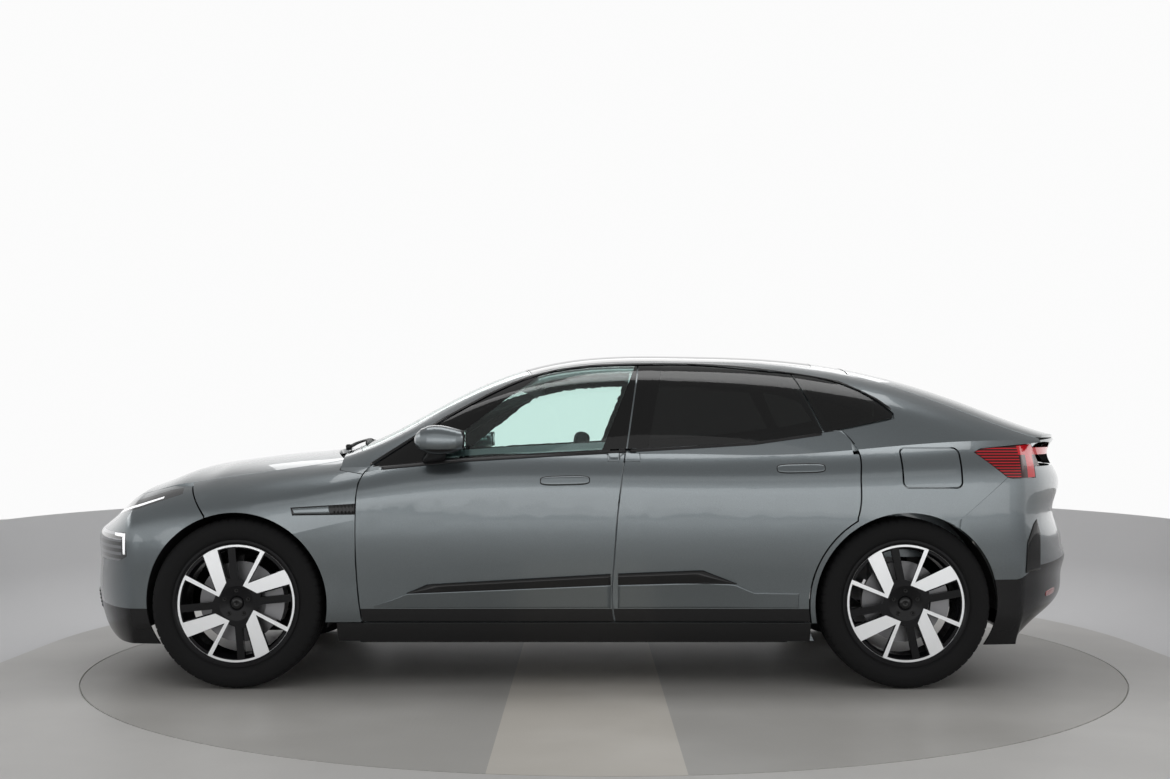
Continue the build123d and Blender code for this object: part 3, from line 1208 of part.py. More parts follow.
def arm(axle_x, z, pin_up, end_y):
    """Left suspension arm, tapering outboard, from the subframe tower to its end."""
    with BuildPart() as link:
        with BuildSketch(Plane.XY.offset(z)):
            with BuildLine():
                Polyline((axle_x - 60, -SUB_HALF + 20), (axle_x + 60, -SUB_HALF + 20),
                         (axle_x + 22, -end_y), (axle_x - 22, -end_y), close=True)
            make_face()
            with Locations((axle_x, -end_y)):
                Circle(22)
        extrude(amount=ARM_T)
        if pin_up:
            with BuildSketch(Plane.XY.offset(z + ARM_T if pin_up > 0 else z)):
                with Locations((axle_x, -end_y)):
                    Circle(PIN_R)
            extrude(amount=pin_up)
    return link.part


low_arm = arm(FRONT, AXLE_Z - BOSS - SEAT - ARM_T, PIN_DEEP - 2, KINGPIN_Y)
high_arm = arm(FRONT, AXLE_Z + BOSS + SEAT, -(PIN_DEEP - 2), KINGPIN_Y)
TOWER_TOP = RAIL_Z[0] - SEAT
with BuildPart() as front_subframe:
    add(block((FRONT - 170, FRONT + 200), (-SUB_HALF, SUB_HALF), (200, 262)))
    with BuildSketch(Plane.XY.offset(190)):
        with Locations((FRONT, 0)):
            RectangleRounded(150, 2 * SUB_HALF - 200, 40)
    extrude(amount=90, mode=Mode.SUBTRACT)
    for side in (-1, 1):
        add(block((FRONT - 70, FRONT + 70), sorted((side * (SUB_HALF - 70), side * SUB_HALF)),
                  (200, TOWER_TOP)))
    for link in (low_arm, high_arm):
        add(link)
        mirror(link, about=Plane.XZ)
pieces["front_subframe"] = front_subframe

REAR_ARM_END = WHEEL_Y - KNUCKLE[1] + 6
rear_arms = [arm(REAR, AXLE_Z - 130, 0, REAR_ARM_END), arm(REAR, AXLE_Z + 110, 0, REAR_ARM_END)]
with BuildPart() as rear_axle:
    add(block((REAR - 190, REAR + 190), (-SUB_HALF, SUB_HALF), (AXLE_Z - 140, AXLE_Z - 70)))
    with BuildSketch(Plane.XY.offset(AXLE_Z - 150)):
        with Locations((REAR, 0)):
            RectangleRounded(170, 2 * SUB_HALF - 200, 40)
    extrude(amount=90, mode=Mode.SUBTRACT)
    for side in (-1, 1):
        add(block((REAR - 70, REAR + 70), sorted((side * (SUB_HALF - 70), side * SUB_HALF)),
                  (AXLE_Z - 140, BOOT_UNDER - SEAT)))
    for link in rear_arms + [rear_carrier.part]:
        add(link)
        mirror(link, about=Plane.XZ)
pieces["rear_axle"] = rear_axle

os.makedirs("parts", exist_ok=True)
for node, piece in pieces.items():
    piece.part.label = node
    export_step(piece.part, f"parts/{node}.step")
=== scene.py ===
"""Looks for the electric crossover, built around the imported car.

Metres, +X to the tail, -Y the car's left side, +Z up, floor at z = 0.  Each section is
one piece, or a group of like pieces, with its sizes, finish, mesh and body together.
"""
import math

import bmesh
import bpy
import numpy as np
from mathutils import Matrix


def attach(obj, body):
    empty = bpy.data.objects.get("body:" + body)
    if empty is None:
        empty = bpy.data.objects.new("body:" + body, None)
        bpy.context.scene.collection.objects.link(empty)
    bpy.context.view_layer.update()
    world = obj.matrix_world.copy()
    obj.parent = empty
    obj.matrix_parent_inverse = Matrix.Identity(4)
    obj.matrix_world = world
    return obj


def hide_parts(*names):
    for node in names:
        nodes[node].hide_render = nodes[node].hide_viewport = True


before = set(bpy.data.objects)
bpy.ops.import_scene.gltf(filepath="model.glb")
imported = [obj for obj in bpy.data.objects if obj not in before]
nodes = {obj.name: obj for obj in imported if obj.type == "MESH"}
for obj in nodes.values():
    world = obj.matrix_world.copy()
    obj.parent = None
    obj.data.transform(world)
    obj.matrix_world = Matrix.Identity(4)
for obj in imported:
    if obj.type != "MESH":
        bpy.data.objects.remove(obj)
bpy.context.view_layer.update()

# ---------------------------------------------------------------- camera
# A viewer level with the shoulder of the car, seven metres off its left side, with the
# lens tipped up a little.
camera_data = bpy.data.cameras.new("side_view")
camera_data.sensor_width = 36.0
camera_data.lens = 42.7
camera = bpy.data.objects.new("side_view", camera_data)
camera.location = (0.0143, -7.18, 1.135)
camera.rotation_euler = (math.radians(91.88), 0, 0)
bpy.context.scene.collection.objects.link(camera)
bpy.context.scene.camera = camera

# ---------------------------------------------------------------- studio
# A pale round turntable set in a pale floor, with a seamless wall behind that the
# camera sees as white.
scene = bpy.context.scene
scene.view_settings.view_transform = "Standard"


class Value:
    """A shader number that takes part in sums like a Python number."""

    def __init__(self, finish, socket):
        self.finish, self.socket = finish, socket

    def _maths(self, operation, *others):
        return self.finish.node("ShaderNodeMath", {"operation": operation}, self, *others)

    def __add__(self, other):
        return self._maths("ADD", other)

    def __sub__(self, other):
        return self._maths("SUBTRACT", other)

    def __mul__(self, other):
        return self._maths("MULTIPLY", other)

    def __rsub__(self, other):
        return self.finish.node("ShaderNodeMath", {"operation": "SUBTRACT"}, other, self)

    def __pow__(self, other):
        return self._maths("POWER", other)

    def __gt__(self, other):
        return self._maths("GREATER_THAN", other)

    def __lt__(self, other):
        return self._maths("LESS_THAN", other)

    __radd__, __rmul__ = __add__, __mul__

    def size(self):
        return self._maths("ABSOLUTE")

    def least(self, other):
        return self._maths("MINIMUM", other)

    def most(self, other):
        return self._maths("MAXIMUM", other)

    def wave(self):
        return self._maths("SINE")

    def fold(self, period):
        """Distance from the nearest whole multiple of period."""
        return self.finish.node("ShaderNodeMath", {"operation": "PINGPONG"}, self, period / 2)

    def soft(self, low, high):
        """0 below low, 1 above high and smooth between."""
        return self.finish.node("ShaderNodeMapRange", {"interpolation_type": "SMOOTHSTEP"},
                                self, low, high, 0.0, 1.0)


class Finish:
    """A material whose nodes are written as expressions."""

    def __init__(self, name, colour, roughness=0.5, metallic=0.0, **sockets):
        self.material = bpy.data.materials.new(name)
        self.material.use_nodes = True
        self.tree = self.material.node_tree
        self.shader = self.tree.nodes["Principled BSDF"]
        self.set("Base Color", (*colour, 1.0))
        self.set("Roughness", roughness)
        self.set("Metallic", metallic)
        for name, value in sockets.items():
            self.set(name.replace("_", " ").title().replace("Ior", "IOR"), value)

    def _give(self, socket, value):
        if isinstance(value, Value):
            self.tree.links.new(value.socket, socket)
        elif value is not None:
            socket.default_value = value

    def set(self, name, value):
        self._give(self.shader.inputs[name], value)

    def node(self, kind, settings=None, *values, output=0, **named):
        """One node of a kind, with its settings and the values or links of its sockets."""
        made = self.tree.nodes.new(kind)
        for key, value in (settings or {}).items():
            setattr(made, key, value)
        for socket, value in zip(made.inputs, values):
            self._give(socket, value)
        for key, value in named.items():
            self._give(made.inputs[key.replace("_", " ")], value)
        return Value(self, made.outputs[output])

    def place(self):
        """Object coordinates and their three parts, in metres."""
        whole = self.node("ShaderNodeTexCoord", output="Object")
        split = self.tree.nodes.new("ShaderNodeSeparateXYZ")
        self.tree.links.new(whole.socket, split.inputs[0])
        return whole, *(Value(self, split.outputs[i]) for i in range(3))

    def facing(self):
        """The three parts of the surface's direction."""
        whole = self.node("ShaderNodeTexCoord", output="Normal")
        split = self.tree.nodes.new("ShaderNodeSeparateXYZ")
        self.tree.links.new(whole.socket, split.inputs[0])
        return [Value(self, split.outputs[i]) for i in range(3)]

    def noise(self, scale, detail=2.0, at=None, stretch=None):
        at = at or self.node("ShaderNodeTexCoord", output="Object")
        if stretch:
            at = self.node("ShaderNodeMapping", Vector=at, Scale=stretch)
        return self.node("ShaderNodeTexNoise", Vector=at, Scale=scale, Detail=detail)

    def blend(self, factor, first, second):
        """Colour mix of first and second by factor."""
        made = self.tree.nodes.new("ShaderNodeMix")
        made.data_type = "RGBA"
        self._give(made.inputs[0], factor)
        for socket, value in ((made.inputs[6], first), (made.inputs[7], second)):
            self._give(socket, value if isinstance(value, Value) else (*value, 1.0))
        return Value(self, made.outputs[2])

    def bump(self, height, strength=0.5, distance=0.001):
        self.set("Normal", self.node("ShaderNodeBump", Height=height, Strength=strength,
                                     Distance=distance))
        return self


def to_object(name, points, faces, finish, smooth=True):
    """A mesh object at the origin from arrays of points and faces."""
    mesh = bpy.data.meshes.new(name)
    mesh.from_pydata(np.asarray(points, float).reshape(-1, 3).tolist(), [],
                     [list(map(int, face)) for face in faces])
    mesh.materials.append(finish.material)
    mesh.polygons.foreach_set("use_smooth", np.full(len(mesh.polygons), smooth))
    mesh.update()
    made = bpy.data.objects.new(name, mesh)
    scene.collection.objects.link(made)
    return made


def grid_faces(rows, columns, wrap_rows=False, wrap_columns=False):
    """Quads of a rows by columns grid of points, closed on itself where asked."""
    r = np.arange(rows if wrap_rows else rows - 1)[:, None]
    c = np.arange(columns if wrap_columns else columns - 1)[None, :]
    r2, c2 = (r + 1) % rows, (c + 1) % columns
    corners = [r * columns + c, r * columns + c2, r2 * columns + c2, r2 * columns + c]
    return np.stack(np.broadcast_arrays(*corners), -1).reshape(-1, 4)


table_middle, table_radius, table_gap, floor_radius = (0.10, 0.0), 2.52, 0.006, 14.0
wall_middle, wall_foot, wall_cove, wall_top = (0.05, 0.45), 2.95, 0.35, 0.66


def turned_about(middle, profile, angles):
    """Rings of (radius, height) about an upright line through middle."""
    radius, height = np.array(profile)[:, :, None].transpose(1, 0, 2)
    return np.stack([middle[0] + radius * np.cos(angles), middle[1] + radius * np.sin(angles),
                     height + 0 * angles], -1)


floor_finish = Finish("pale_floor", (0.50, 0.495, 0.49), 0.45)
place, px, py, pz = floor_finish.place()
from_middle = ((px - table_middle[0]) ** 2.0 + (py - table_middle[1]) ** 2.0) ** 0.5
on_table = from_middle < table_radius
on_plate = on_table * ((px - 0.02).size() < 0.34)
tread = (px.fold(0.022) - 0.004).soft(0, 0.003) * (py.fold(0.022) - 0.004).soft(0, 0.003)
floor_finish.bump(tread * (1.0 - on_plate), 0.2, 0.0008)
worn = floor_finish.noise(0.9, 4, place).soft(0.35, 0.7)
plates = floor_finish.blend(on_plate,
                            floor_finish.blend(worn, (0.42, 0.41, 0.39), (0.50, 0.49, 0.47)),
                            floor_finish.blend(worn, (0.58, 0.55, 0.50), (0.68, 0.65, 0.60)))
tiles = floor_finish.blend(worn, (0.56, 0.55, 0.535), (0.64, 0.63, 0.61))
tiles = floor_finish.blend((0.0 - py).soft(3.6, 7.5), tiles, (0.92, 0.92, 0.91))
floor_finish.set("Base Color", floor_finish.blend(on_table, tiles, plates))
all_round = np.linspace(0, 2 * math.pi, 180, endpoint=False)
floor_profile = [(0.001, 0), (table_radius, 0), (table_radius + 0.001, -0.01),
                 (table_radius + table_gap, -0.01), (table_radius + table_gap + 0.001, 0),
                 (floor_radius, 0)]
floor = to_object("floor", turned_about(table_middle, floor_profile, all_round),
                  grid_faces(6, len(all_round), False, True), floor_finish, smooth=False)

# A low wall round the back of the car, rising from the floor in a cove; its ends run
# straight on along both sides.
wall_finish = Finish("pale_wall", (0.74, 0.74, 0.75), 0.8)
wall_finish.set("Alpha", 1.0 - wall_finish.node("ShaderNodeNewGeometry", output=6))
behind = np.radians(np.linspace(0, 180, 91))
rise = np.linspace(0, math.pi / 2, 13)
wall_profile = [(wall_foot + wall_cove * math.sin(a), 0.001 + wall_cove * (1 - math.cos(a)))
                for a in rise] + [(wall_foot + wall_cove, wall_top)]
bend = turned_about(wall_middle, wall_profile, behind)
run_on = np.array((0, -3.6, 0))
bend = np.concatenate([bend[:, :1] + run_on, bend, bend[:, -1:] + run_on], 1)
wall = to_object("wall", bend, grid_faces(*bend.shape[:2])[:, ::-1], wall_finish)

world = bpy.data.worlds.new("studio")
scene.world = world
world.use_nodes = True
sky = world.node_tree
background = sky.nodes["Background"]
background.inputs["Color"].default_value = (1, 1, 1, 1)
rays = sky.nodes.new("ShaderNodeLightPath")
first, seen = (sky.nodes.new("ShaderNodeMath") for _ in range(2))
first.operation = seen.operation = "MAXIMUM"
sky.links.new(rays.outputs["Is Camera Ray"], first.inputs[0])
sky.links.new(rays.outputs["Is Glossy Ray"], first.inputs[1])
sky.links.new(first.outputs[0], seen.inputs[0])
sky.links.new(rays.outputs["Is Transmission Ray"], seen.inputs[1])
heading = sky.nodes.new("ShaderNodeTexCoord")
upward = sky.nodes.new("ShaderNodeSeparateXYZ")
sky.links.new(heading.outputs["Generated"], upward.inputs[0])
ceiling = sky.nodes.new("ShaderNodeMapRange")
ceiling.interpolation_type = "SMOOTHSTEP"
sky.links.new(upward.outputs[2], ceiling.inputs["Value"])
for socket, value in (("From Min", 0.20), ("From Max", 0.62), ("To Min", 0.97), ("To Max", 0.40)):
    ceiling.inputs[socket].default_value = value
pick = sky.nodes.new("ShaderNodeMix")
sky.links.new(rays.outputs["Is Glossy Ray"], pick.inputs[0])
pick.inputs[2].default_value = 0.97
sky.links.new(ceiling.outputs[0], pick.inputs[3])
lit = sky.nodes.new("ShaderNodeMix")
sky.links.new(seen.outputs[0], lit.inputs[0])
lit.inputs[2].default_value = 0.46
sky.links.new(pick.outputs[0], lit.inputs[3])
sky.links.new(lit.outputs[0], background.inputs["Strength"])

# Long soft boxes over the car and along both sides, which draw the bright band on the
# shoulders and the roof's edge.
for name, spot, size, turn, power in (
        ("roof_box", (0.2, 0.0, 4.2), (5.0, 1.6), (0, 0, 0), 50.0),
        ("left_box", (0.0, -5.2, 3.6), (6.5, 1.2), (55, 0, 0), 10.0),
        ("left_wall", (0.0, -9.6, 1.15), (15.0, 2.1), (90, 0, 0), 110.0),
        ("right_box", (0.0, 5.2, 3.6), (6.5, 1.2), (-55, 0, 0), 30.0),
        ("nose_box", (-5.5, 0.0, 2.6), (1.2, 4.0), (0, -62, 0), 20.0),
        ("tail_box", (5.5, 0.0, 2.6), (1.2, 4.0), (0, 62, 0), 20.0)):
    light = bpy.data.lights.new(name, "AREA")
    light.shape, light.size, light.size_y, light.energy = "RECTANGLE", *size, power
    lamp = bpy.data.objects.new(name, light)
    lamp.location = spot
    lamp.rotation_euler = [math.radians(a) for a in turn]
    scene.collection.objects.link(lamp)

# ---------------------------------------------------------------- painted panels
# Pressed aluminium and steel panels in a grey metallic with fine flake under clear
# lacquer.  The foot of the doors and bumpers is moulded gloss black.
paint_colour = (0.170, 0.194, 0.205)


def lacquer(name, black_where=None, trimmed=False):
    """Metallic paint; where a mask says so the moulding is black.  With trimmed, the faces
    that look towards the middle of the cabin are covered in dark trim."""
    finish = Finish(name, paint_colour, 0.30, 0.90, coat_weight=1.0, coat_roughness=0.03,
                    specular_ior_level=0.3)
    place, px, py, pz = finish.place()
    flake = finish.noise(900.0, 1.0, place).soft(0.35, 0.75)
    colour = finish.blend(flake, tuple(0.86 * c for c in paint_colour),
                          tuple(1.16 * c for c in paint_colour))
    if trimmed:
        _, ny, nz = finish.facing()
        inside = (ny * py + nz * (pz - 0.9)) < -0.10
    if trimmed or black_where:
        black = black_where(px, py, pz) if black_where else inside
        black = black.most(inside) if trimmed else black
        colour = finish.blend(black, colour, (0.012, 0.012, 0.013))
        finish.set("Metallic", (1.0 - black) * 0.90)
        finish.set("Roughness", 0.30 - black * 0.10 + (inside * 0.65 if trimmed else 0.0))
        finish.set("Coat Weight", 1.0 - black * 0.85)
    finish.set("Base Color", colour)
    return finish


def paint_over(finish, *names):
    for name in names:
        mesh = nodes[name].data
        mesh.materials.clear()
        mesh.materials.append(finish.material)


paint = lacquer("grey_lacquer")
paint_over(paint, "front_wings", "bonnet", "charge_flap")
paint_over(lacquer("shell_lacquer", trimmed=True), "body_shell", "tailgate")
door_foot = 0.358


def below_foot_or_above_belt(px, py, pz):
    """The doors are black at the foot and round the glass, above a belt that steepens at
    both ends."""
    front = (px * 0.0986 + 1.0842).least(px * 0.0585 + 1.0622)
    belt = front.most(px * 0.142 + 0.9952)
    return (pz < door_foot).most(pz > belt - 0.006)


door_paint = lacquer("door_lacquer", below_foot_or_above_belt, trimmed=True)
paint_over(door_paint, "front_left_door", "front_right_door", "rear_left_door", "rear_right_door")

# ---------------------------------------------------------------- glass
# Laminated windscreen and clear front door glass, privacy glass behind the middle
# pillar, and a dark bonded roof panel.
def pane(name, tint, black_where=None):
    """Clear tinted glass; where a mask says so it carries a black band printed inside."""
    finish = Finish(name, tint, 0.0, 0.0, transmission_weight=1.0)
    finish.set("IOR", 1.45)
    if black_where:
        place, px, py, pz = finish.place()
        finish.set("Base Color", finish.blend(black_where(px, py, pz), tint, (0.004, 0.004, 0.004)))
    return finish


green_tint, dark_tint = (0.80, 0.95, 0.91), (0.060, 0.064, 0.062)
# the band runs up the middle pillar, leaning back with it, and along the top edge
front_glass = pane("front_glass", green_tint, lambda px, py, pz:
                   (px - (pz - 1.078) * 0.404 > 0.096).most(
                       px < (pz - 1.03) * 1.30 - 0.700))
screen_glass_finish = pane("screen_laminate", green_tint)
dark_glass = pane("privacy_glass", dark_tint, lambda px, py, pz: (px - (pz - 1.078) * 0.2) < 0.300)
quarter_glass = pane("quarter_glass", dark_tint)
paint_over(screen_glass_finish, "windscreen")
paint_over(front_glass, "front_left_window", "front_right_window")
paint_over(dark_glass, "rear_left_window", "rear_right_window")
paint_over(quarter_glass, "quarter_windows")
roof_glass = Finish("roof_glass", (0.008, 0.0085, 0.0085), 0.05, coat_weight=1.0,
                    coat_roughness=0.02, specular_ior_level=0.0)
under = roof_glass.facing()[2] < 0.0
roof_glass.set("Roughness", 0.05 + under * 0.90)
roof_glass.set("Coat Weight", 1.0 - under)
paint_over(roof_glass, "glass_roof")

# ---------------------------------------------------------------- black mouldings
# Sill cladding, arch liners and the lower mouldings in black plastic.
def plastic(name, shade, roughness, grain=0.0):
    finish = Finish(name, (shade, shade, shade * 1.04), roughness, specular_ior_level=0.3)
    if grain:
        finish.bump(finish.noise(700.0, 3.0), grain, 0.0008)
    return finish


gloss_black = plastic("gloss_black", 0.010, 0.09)
satin_black = plastic("satin_black", 0.018, 0.42, 0.25)
lining = plastic("arch_lining", 0.014, 0.85, 0.6)
cast_finish = Finish("cast_metal", (0.30, 0.30, 0.31), 0.55, 0.9)
cast_finish.bump(cast_finish.noise(260.0, 4.0), 0.4, 0.0008)
paint_over(satin_black, "sill_cladding", "battery_pack")
paint_over(lining, "wheel_arch_liners", "front_frame", "front_subframe")
paint_over(cast_finish, "rear_axle", "front_left_knuckle", "front_right_knuckle")
front_foot, rear_foot = 0.355, 0.490
paint_over(lacquer("front_bumper_lacquer", lambda px, py, pz: pz < front_foot), "front_bumper")
paint_over(lacquer("rear_bumper_lacquer", lambda px, py, pz:
                   pz < rear_foot + px.soft(1.94, 2.08) * 0.058 + (px - 2.1).most(0.0) * 0.06),
           "rear_bumper")
mirror_paint = lacquer("mirror_lacquer", lambda px, py, pz: pz < 1.072)
paint_over(mirror_paint, "left_mirror", "right_mirror")

# ---------------------------------------------------------------- tyres
# Low-profile road tyres: four ribs parted by three grooves, blocks cut by slanting
# sipes, rounded shoulders and bowed side walls.
axle_height, wheel_plane = 0.3814, 0.830
front_axle, rear_axle = -1.548, 1.451
rubber = Finish("tyre_rubber", (0.010, 0.010, 0.0105), 0.80, specular_ior_level=0.22)
rubber.bump(rubber.noise(420.0, 3.0), 0.3, 0.0006)
# half section from the outer bead over the tread's middle: across, radius
half_section = np.array([
    (0.1060, 0.2671), (0.1066, 0.2755), (0.1092, 0.2850), (0.1130, 0.2900), (0.1158, 0.2915),
    (0.1202, 0.3010), (0.1245, 0.3130), (0.1262, 0.3250), (0.1264, 0.3265), (0.1252, 0.3380),
    (0.1233, 0.3480), (0.1222, 0.3530), (0.1190, 0.3610), (0.1140, 0.3690), (0.1085, 0.3735),
    (0.1040, 0.3756), (0.1000, 0.3768), (0.0930, 0.3780), (0.0850, 0.3790), (0.0760, 0.3798)])
tread_edges = [0.0755, 0.0700, 0.0698, 0.0612, 0.0610, 0.0560, 0.0480, 0.0400, 0.0320, 0.0240,
               0.0180, 0.0178, 0.0082, 0.0080, 0.0040]
groove_depth, groove_spans = 0.0068, ((0.0611, 0.0699), (0.0081, 0.0179))
steps_round = 540


def tyre_surface(middle_x, middle_y, outward):
    """Section turned about the wheel's axis; radius drops in the grooves and sipes."""
    across = np.array(tread_edges)
    radius = 0.3814 - 0.9 * (across - 0.0) ** 2 * 0.30
    grooved = np.zeros(len(across), bool)
    for low, high in groove_spans:
        grooved |= (across > low) & (across < high)
    half = np.vstack([half_section, np.stack([across, radius], -1)])
    dip = np.concatenate([np.zeros(len(half_section)), np.where(grooved, groove_depth, 0.0)])
    side = np.concatenate([half, half[::-1] * (-1, 1)])
    drop = np.concatenate([dip, dip[::-1]])
    inside = np.array([(-0.100, 0.2671), (-0.100, 0.300), (0.0, 0.365), (0.100, 0.300),
                       (0.100, 0.2671)])
    profile = np.vstack([side, inside])
    drop = np.concatenate([drop, np.zeros(len(inside))])
    turn = np.linspace(0, 2 * math.pi, steps_round, endpoint=False)[:, None]
    y, r = profile[None, :, 0], profile[None, :, 1] - drop[None, :]
    shoulder = (np.abs(y) > 0.0700) & (np.abs(y) < 0.1150) & (profile[None, :, 1] > 0.366)
    rib = (np.abs(y) < 0.0612) & (drop[None, :] == 0) & (profile[None, :, 1] > 0.37)
    step = np.arange(steps_round)[:, None]
    sipes = (step % 9 == 0) & shoulder | ((step + (np.abs(y) * 400).astype(int)) % 12 == 0) & rib
    r = r - np.where(sipes, 0.0045, 0.0)
    return np.stack([middle_x + r * np.sin(turn), middle_y + outward * y + 0 * turn,
                     axle_height + r * np.cos(turn)], -1)


corners = {"front_left": (front_axle, -1), "front_right": (front_axle, 1),
           "rear_left": (rear_axle, -1), "rear_right": (rear_axle, 1)}
for corner, (x, side) in corners.items():
    points = tyre_surface(x, side * wheel_plane, side)
    faces = grid_faces(*points.shape[:2], True, True)
    if side > 0:
        faces = faces[:, ::-1]
    tyre = to_object(f"{corner}_tyre_cover", points, faces, rubber)
    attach(tyre, f"{corner}_wheel")
    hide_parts(f"{corner}_tyre")

# ---------------------------------------------------------------- wheels
# Cast alloy wheels in gloss black; the four wide blades, the thin arms and the arcs at
# the rim stand proud and are turned bright, with fine rings from the lathe.
spoke_face, spoke_reach = 0.1055, 0.2625
wheel_finish = Finish("turned_alloy", (0.006, 0.006, 0.007), 0.20, 0.0, coat_weight=0.05,
                      coat_roughness=0.05, specular_ior_level=0.15)
place, px, py, pz = wheel_finish.place()
centre_x = (px < 0.0) * (front_axle - rear_axle) + rear_axle
from_centre = ((px - centre_x) ** 2.0 + (pz - axle_height) ** 2.0) ** 0.5
bright = ((py.size() - wheel_plane) > spoke_face) * (from_centre < spoke_reach)
wheel_finish.set("Base Color", wheel_finish.blend(bright, (0.006, 0.006, 0.007),
                                                  (0.72, 0.73, 0.74)))
wheel_finish.set("Metallic", bright)
wheel_finish.set("Roughness", 0.26 + bright * 0.04)
wheel_finish.bump((from_centre * 5200.0).wave() * bright, 0.05, 0.0004)
disc_finish = Finish("brake_disc", (0.17, 0.17, 0.175), 0.42, 1.0)
place, px, py, pz = disc_finish.place()
centre_x = (px < 0.0) * (front_axle - rear_axle) + rear_axle
from_centre = ((px - centre_x) ** 2.0 + (pz - axle_height) ** 2.0) ** 0.5
disc_finish.bump((from_centre * 3000.0).wave(), 0.12, 0.0006)
for corner in corners:
    paint_over(wheel_finish, f"{corner}_rim")
    paint_over(disc_finish, f"{corner}_brake_disc")


def turned(name, profile, axis_at, outward, finish, steps=64):
    """A profile of (along the axis, radius) turned about a wheel's axis."""
    profile = np.array(profile)
    turn = np.linspace(0, 2 * math.pi, steps, endpoint=False)[:, None]
    points = np.stack([axis_at[0] + profile[:, 1] * np.sin(turn),
                       axis_at[1] + outward * profile[:, 0] + 0 * turn,
                       axis_at[2] + profile[:, 1] * np.cos(turn)], -1)
    faces = grid_faces(steps, len(profile), True)
    return to_object(name, points, faces[:, ::-1] if outward > 0 else faces, finish)


# Centre caps and five wheel bolts, in black.
cap_profile = [(0.090, 0.0002), (0.1012, 0.0002), (0.1010, 0.014), (0.1000, 0.022),
               (0.0975, 0.0265),
               (0.0935, 0.0285), (0.0905, 0.0285)]
bolt_profile = [(0.0960, 0.0002), (0.1035, 0.0002), (0.1035, 0.0050), (0.1058, 0.0062),
                (0.1060, 0.0088), (0.1048, 0.0100), (0.0960, 0.0100)]
bolt_circle = 0.056
for corner, (x, side) in corners.items():
    for number, angle in enumerate(np.linspace(0, 2 * math.pi, 5, endpoint=False)):
        bolt = turned(f"{corner}_bolt_{number}", bolt_profile,
                      (x + bolt_circle * math.sin(angle), side * wheel_plane,
                       axle_height + bolt_circle * math.cos(angle)), side, gloss_black, 24)
        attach(bolt, f"{corner}_wheel")
    cap = turned(f"{corner}_cap", cap_profile, (x, side * wheel_plane, axle_height), side,
                 gloss_black)
    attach(cap, f"{corner}_wheel")

# ---------------------------------------------------------------- black door strips
# A gloss strip on each door above the sill, along the crease that the doors fold in
# from.  It widens from a point on the front door and ends in a point on the rear one.
def coordinates(mesh):
    """A mesh's points as an array."""
    flat = np.empty(len(mesh.vertices) * 3)
    mesh.vertices.foreach_get("co", flat)
    return flat.reshape(-1, 3)


def settle(thing):
    """Bakes a piece's modifiers into its mesh, merges its doubles and turns its faces
    outwards."""
    graph = bpy.context.evaluated_depsgraph_get()
    mesh = bpy.data.meshes.new_from_object(thing.evaluated_get(graph))
    shape = bmesh.new()
    shape.from_mesh(mesh)
    bmesh.ops.remove_doubles(shape, verts=shape.verts, dist=1e-6)
    bmesh.ops.recalc_face_normals(shape, faces=shape.faces)
    shape.to_mesh(mesh)
    shape.free()
    thing.modifiers.clear()
    thing.data = mesh
    return thing


def closed_slab(name, outer, inner, finish):
    """A closed plate between two grids of points, with its faces turned outwards."""
    rows, columns = outer.shape[:2]
    loop = np.concatenate([outer, inner[::-1]])
    faces = grid_faces(2 * rows, columns, True).tolist()
    ends = [[r * columns + c for r in range(2 * rows)] for c in (0, columns - 1)]
    return settle(to_object(name, loop, faces + ends, finish))


def dropped(points, axis, target):
    """Points moved along X, Y or Z onto a panel; a point that meets nothing takes the
    middle of the rest."""
    scratch = to_object("scratch", points, grid_faces(*points.shape[:2]), gloss_black)
    drop = scratch.modifiers.new("drop", "SHRINKWRAP")
    drop.target, drop.wrap_method = target, "PROJECT"
    drop.use_project_x, drop.use_project_y, drop.use_project_z = (axis == i for i in range(3))
    drop.use_negative_direction = drop.use_positive_direction = True
    graph = bpy.context.evaluated_depsgraph_get()
    found = coordinates(scratch.evaluated_get(graph).data).reshape(points.shape)
    bpy.data.objects.remove(scratch)
    depth, far = found[..., axis], points[..., axis]
    missed = np.abs(depth - far) < 1e-6
    depth[missed] = np.median(depth[~missed]) if (~missed).any() else depth[missed]
    return found


def laid_on(name, flat, axis, side, target, finish, lift=0.004, sink=0.003, border=0.35):
    """A moulding on a panel: a grid of places seen along an axis, dropped onto the panel
    from one side.  Its outer face stands lift proud, and a share of that at its border."""
    first, second = flat
    parts = [first, second]
    parts.insert(axis, np.full_like(first, side * 3.0))
    ground = dropped(np.stack(parts, -1), axis, target)
    proud = np.full(first.shape, lift)
    for edge in (proud[0], proud[-1], proud[1:-1, 0], proud[1:-1, -1]):
        edge *= border
    outer, inner = ground.copy(), ground.copy()
    outer[..., axis] += side * proud
    inner[..., axis] -= side * sink
    return closed_slab(name, outer, inner, finish)


def band(low, high, columns=40, edge=0.06):
    """Grid of places between a lower and an upper line of knots."""
    low, high = np.array(low), np.array(high)
    along = np.concatenate([[0, 0.01], np.linspace(0.03, 0.97, columns), [0.99, 1]])
    share = np.array([0, edge, 0.35, 0.65, 1 - edge, 1])[:, None]

    def follow(line):
        knots = np.linspace(0, 1, len(line))
        return np.interp(along, knots, line[:, 0]), np.interp(along, knots, line[:, 1])
    (x0, z0), (x1, z1) = follow(low), follow(high)
    return x0 + (x1 - x0) * share, z0 + (z1 - z0) * share


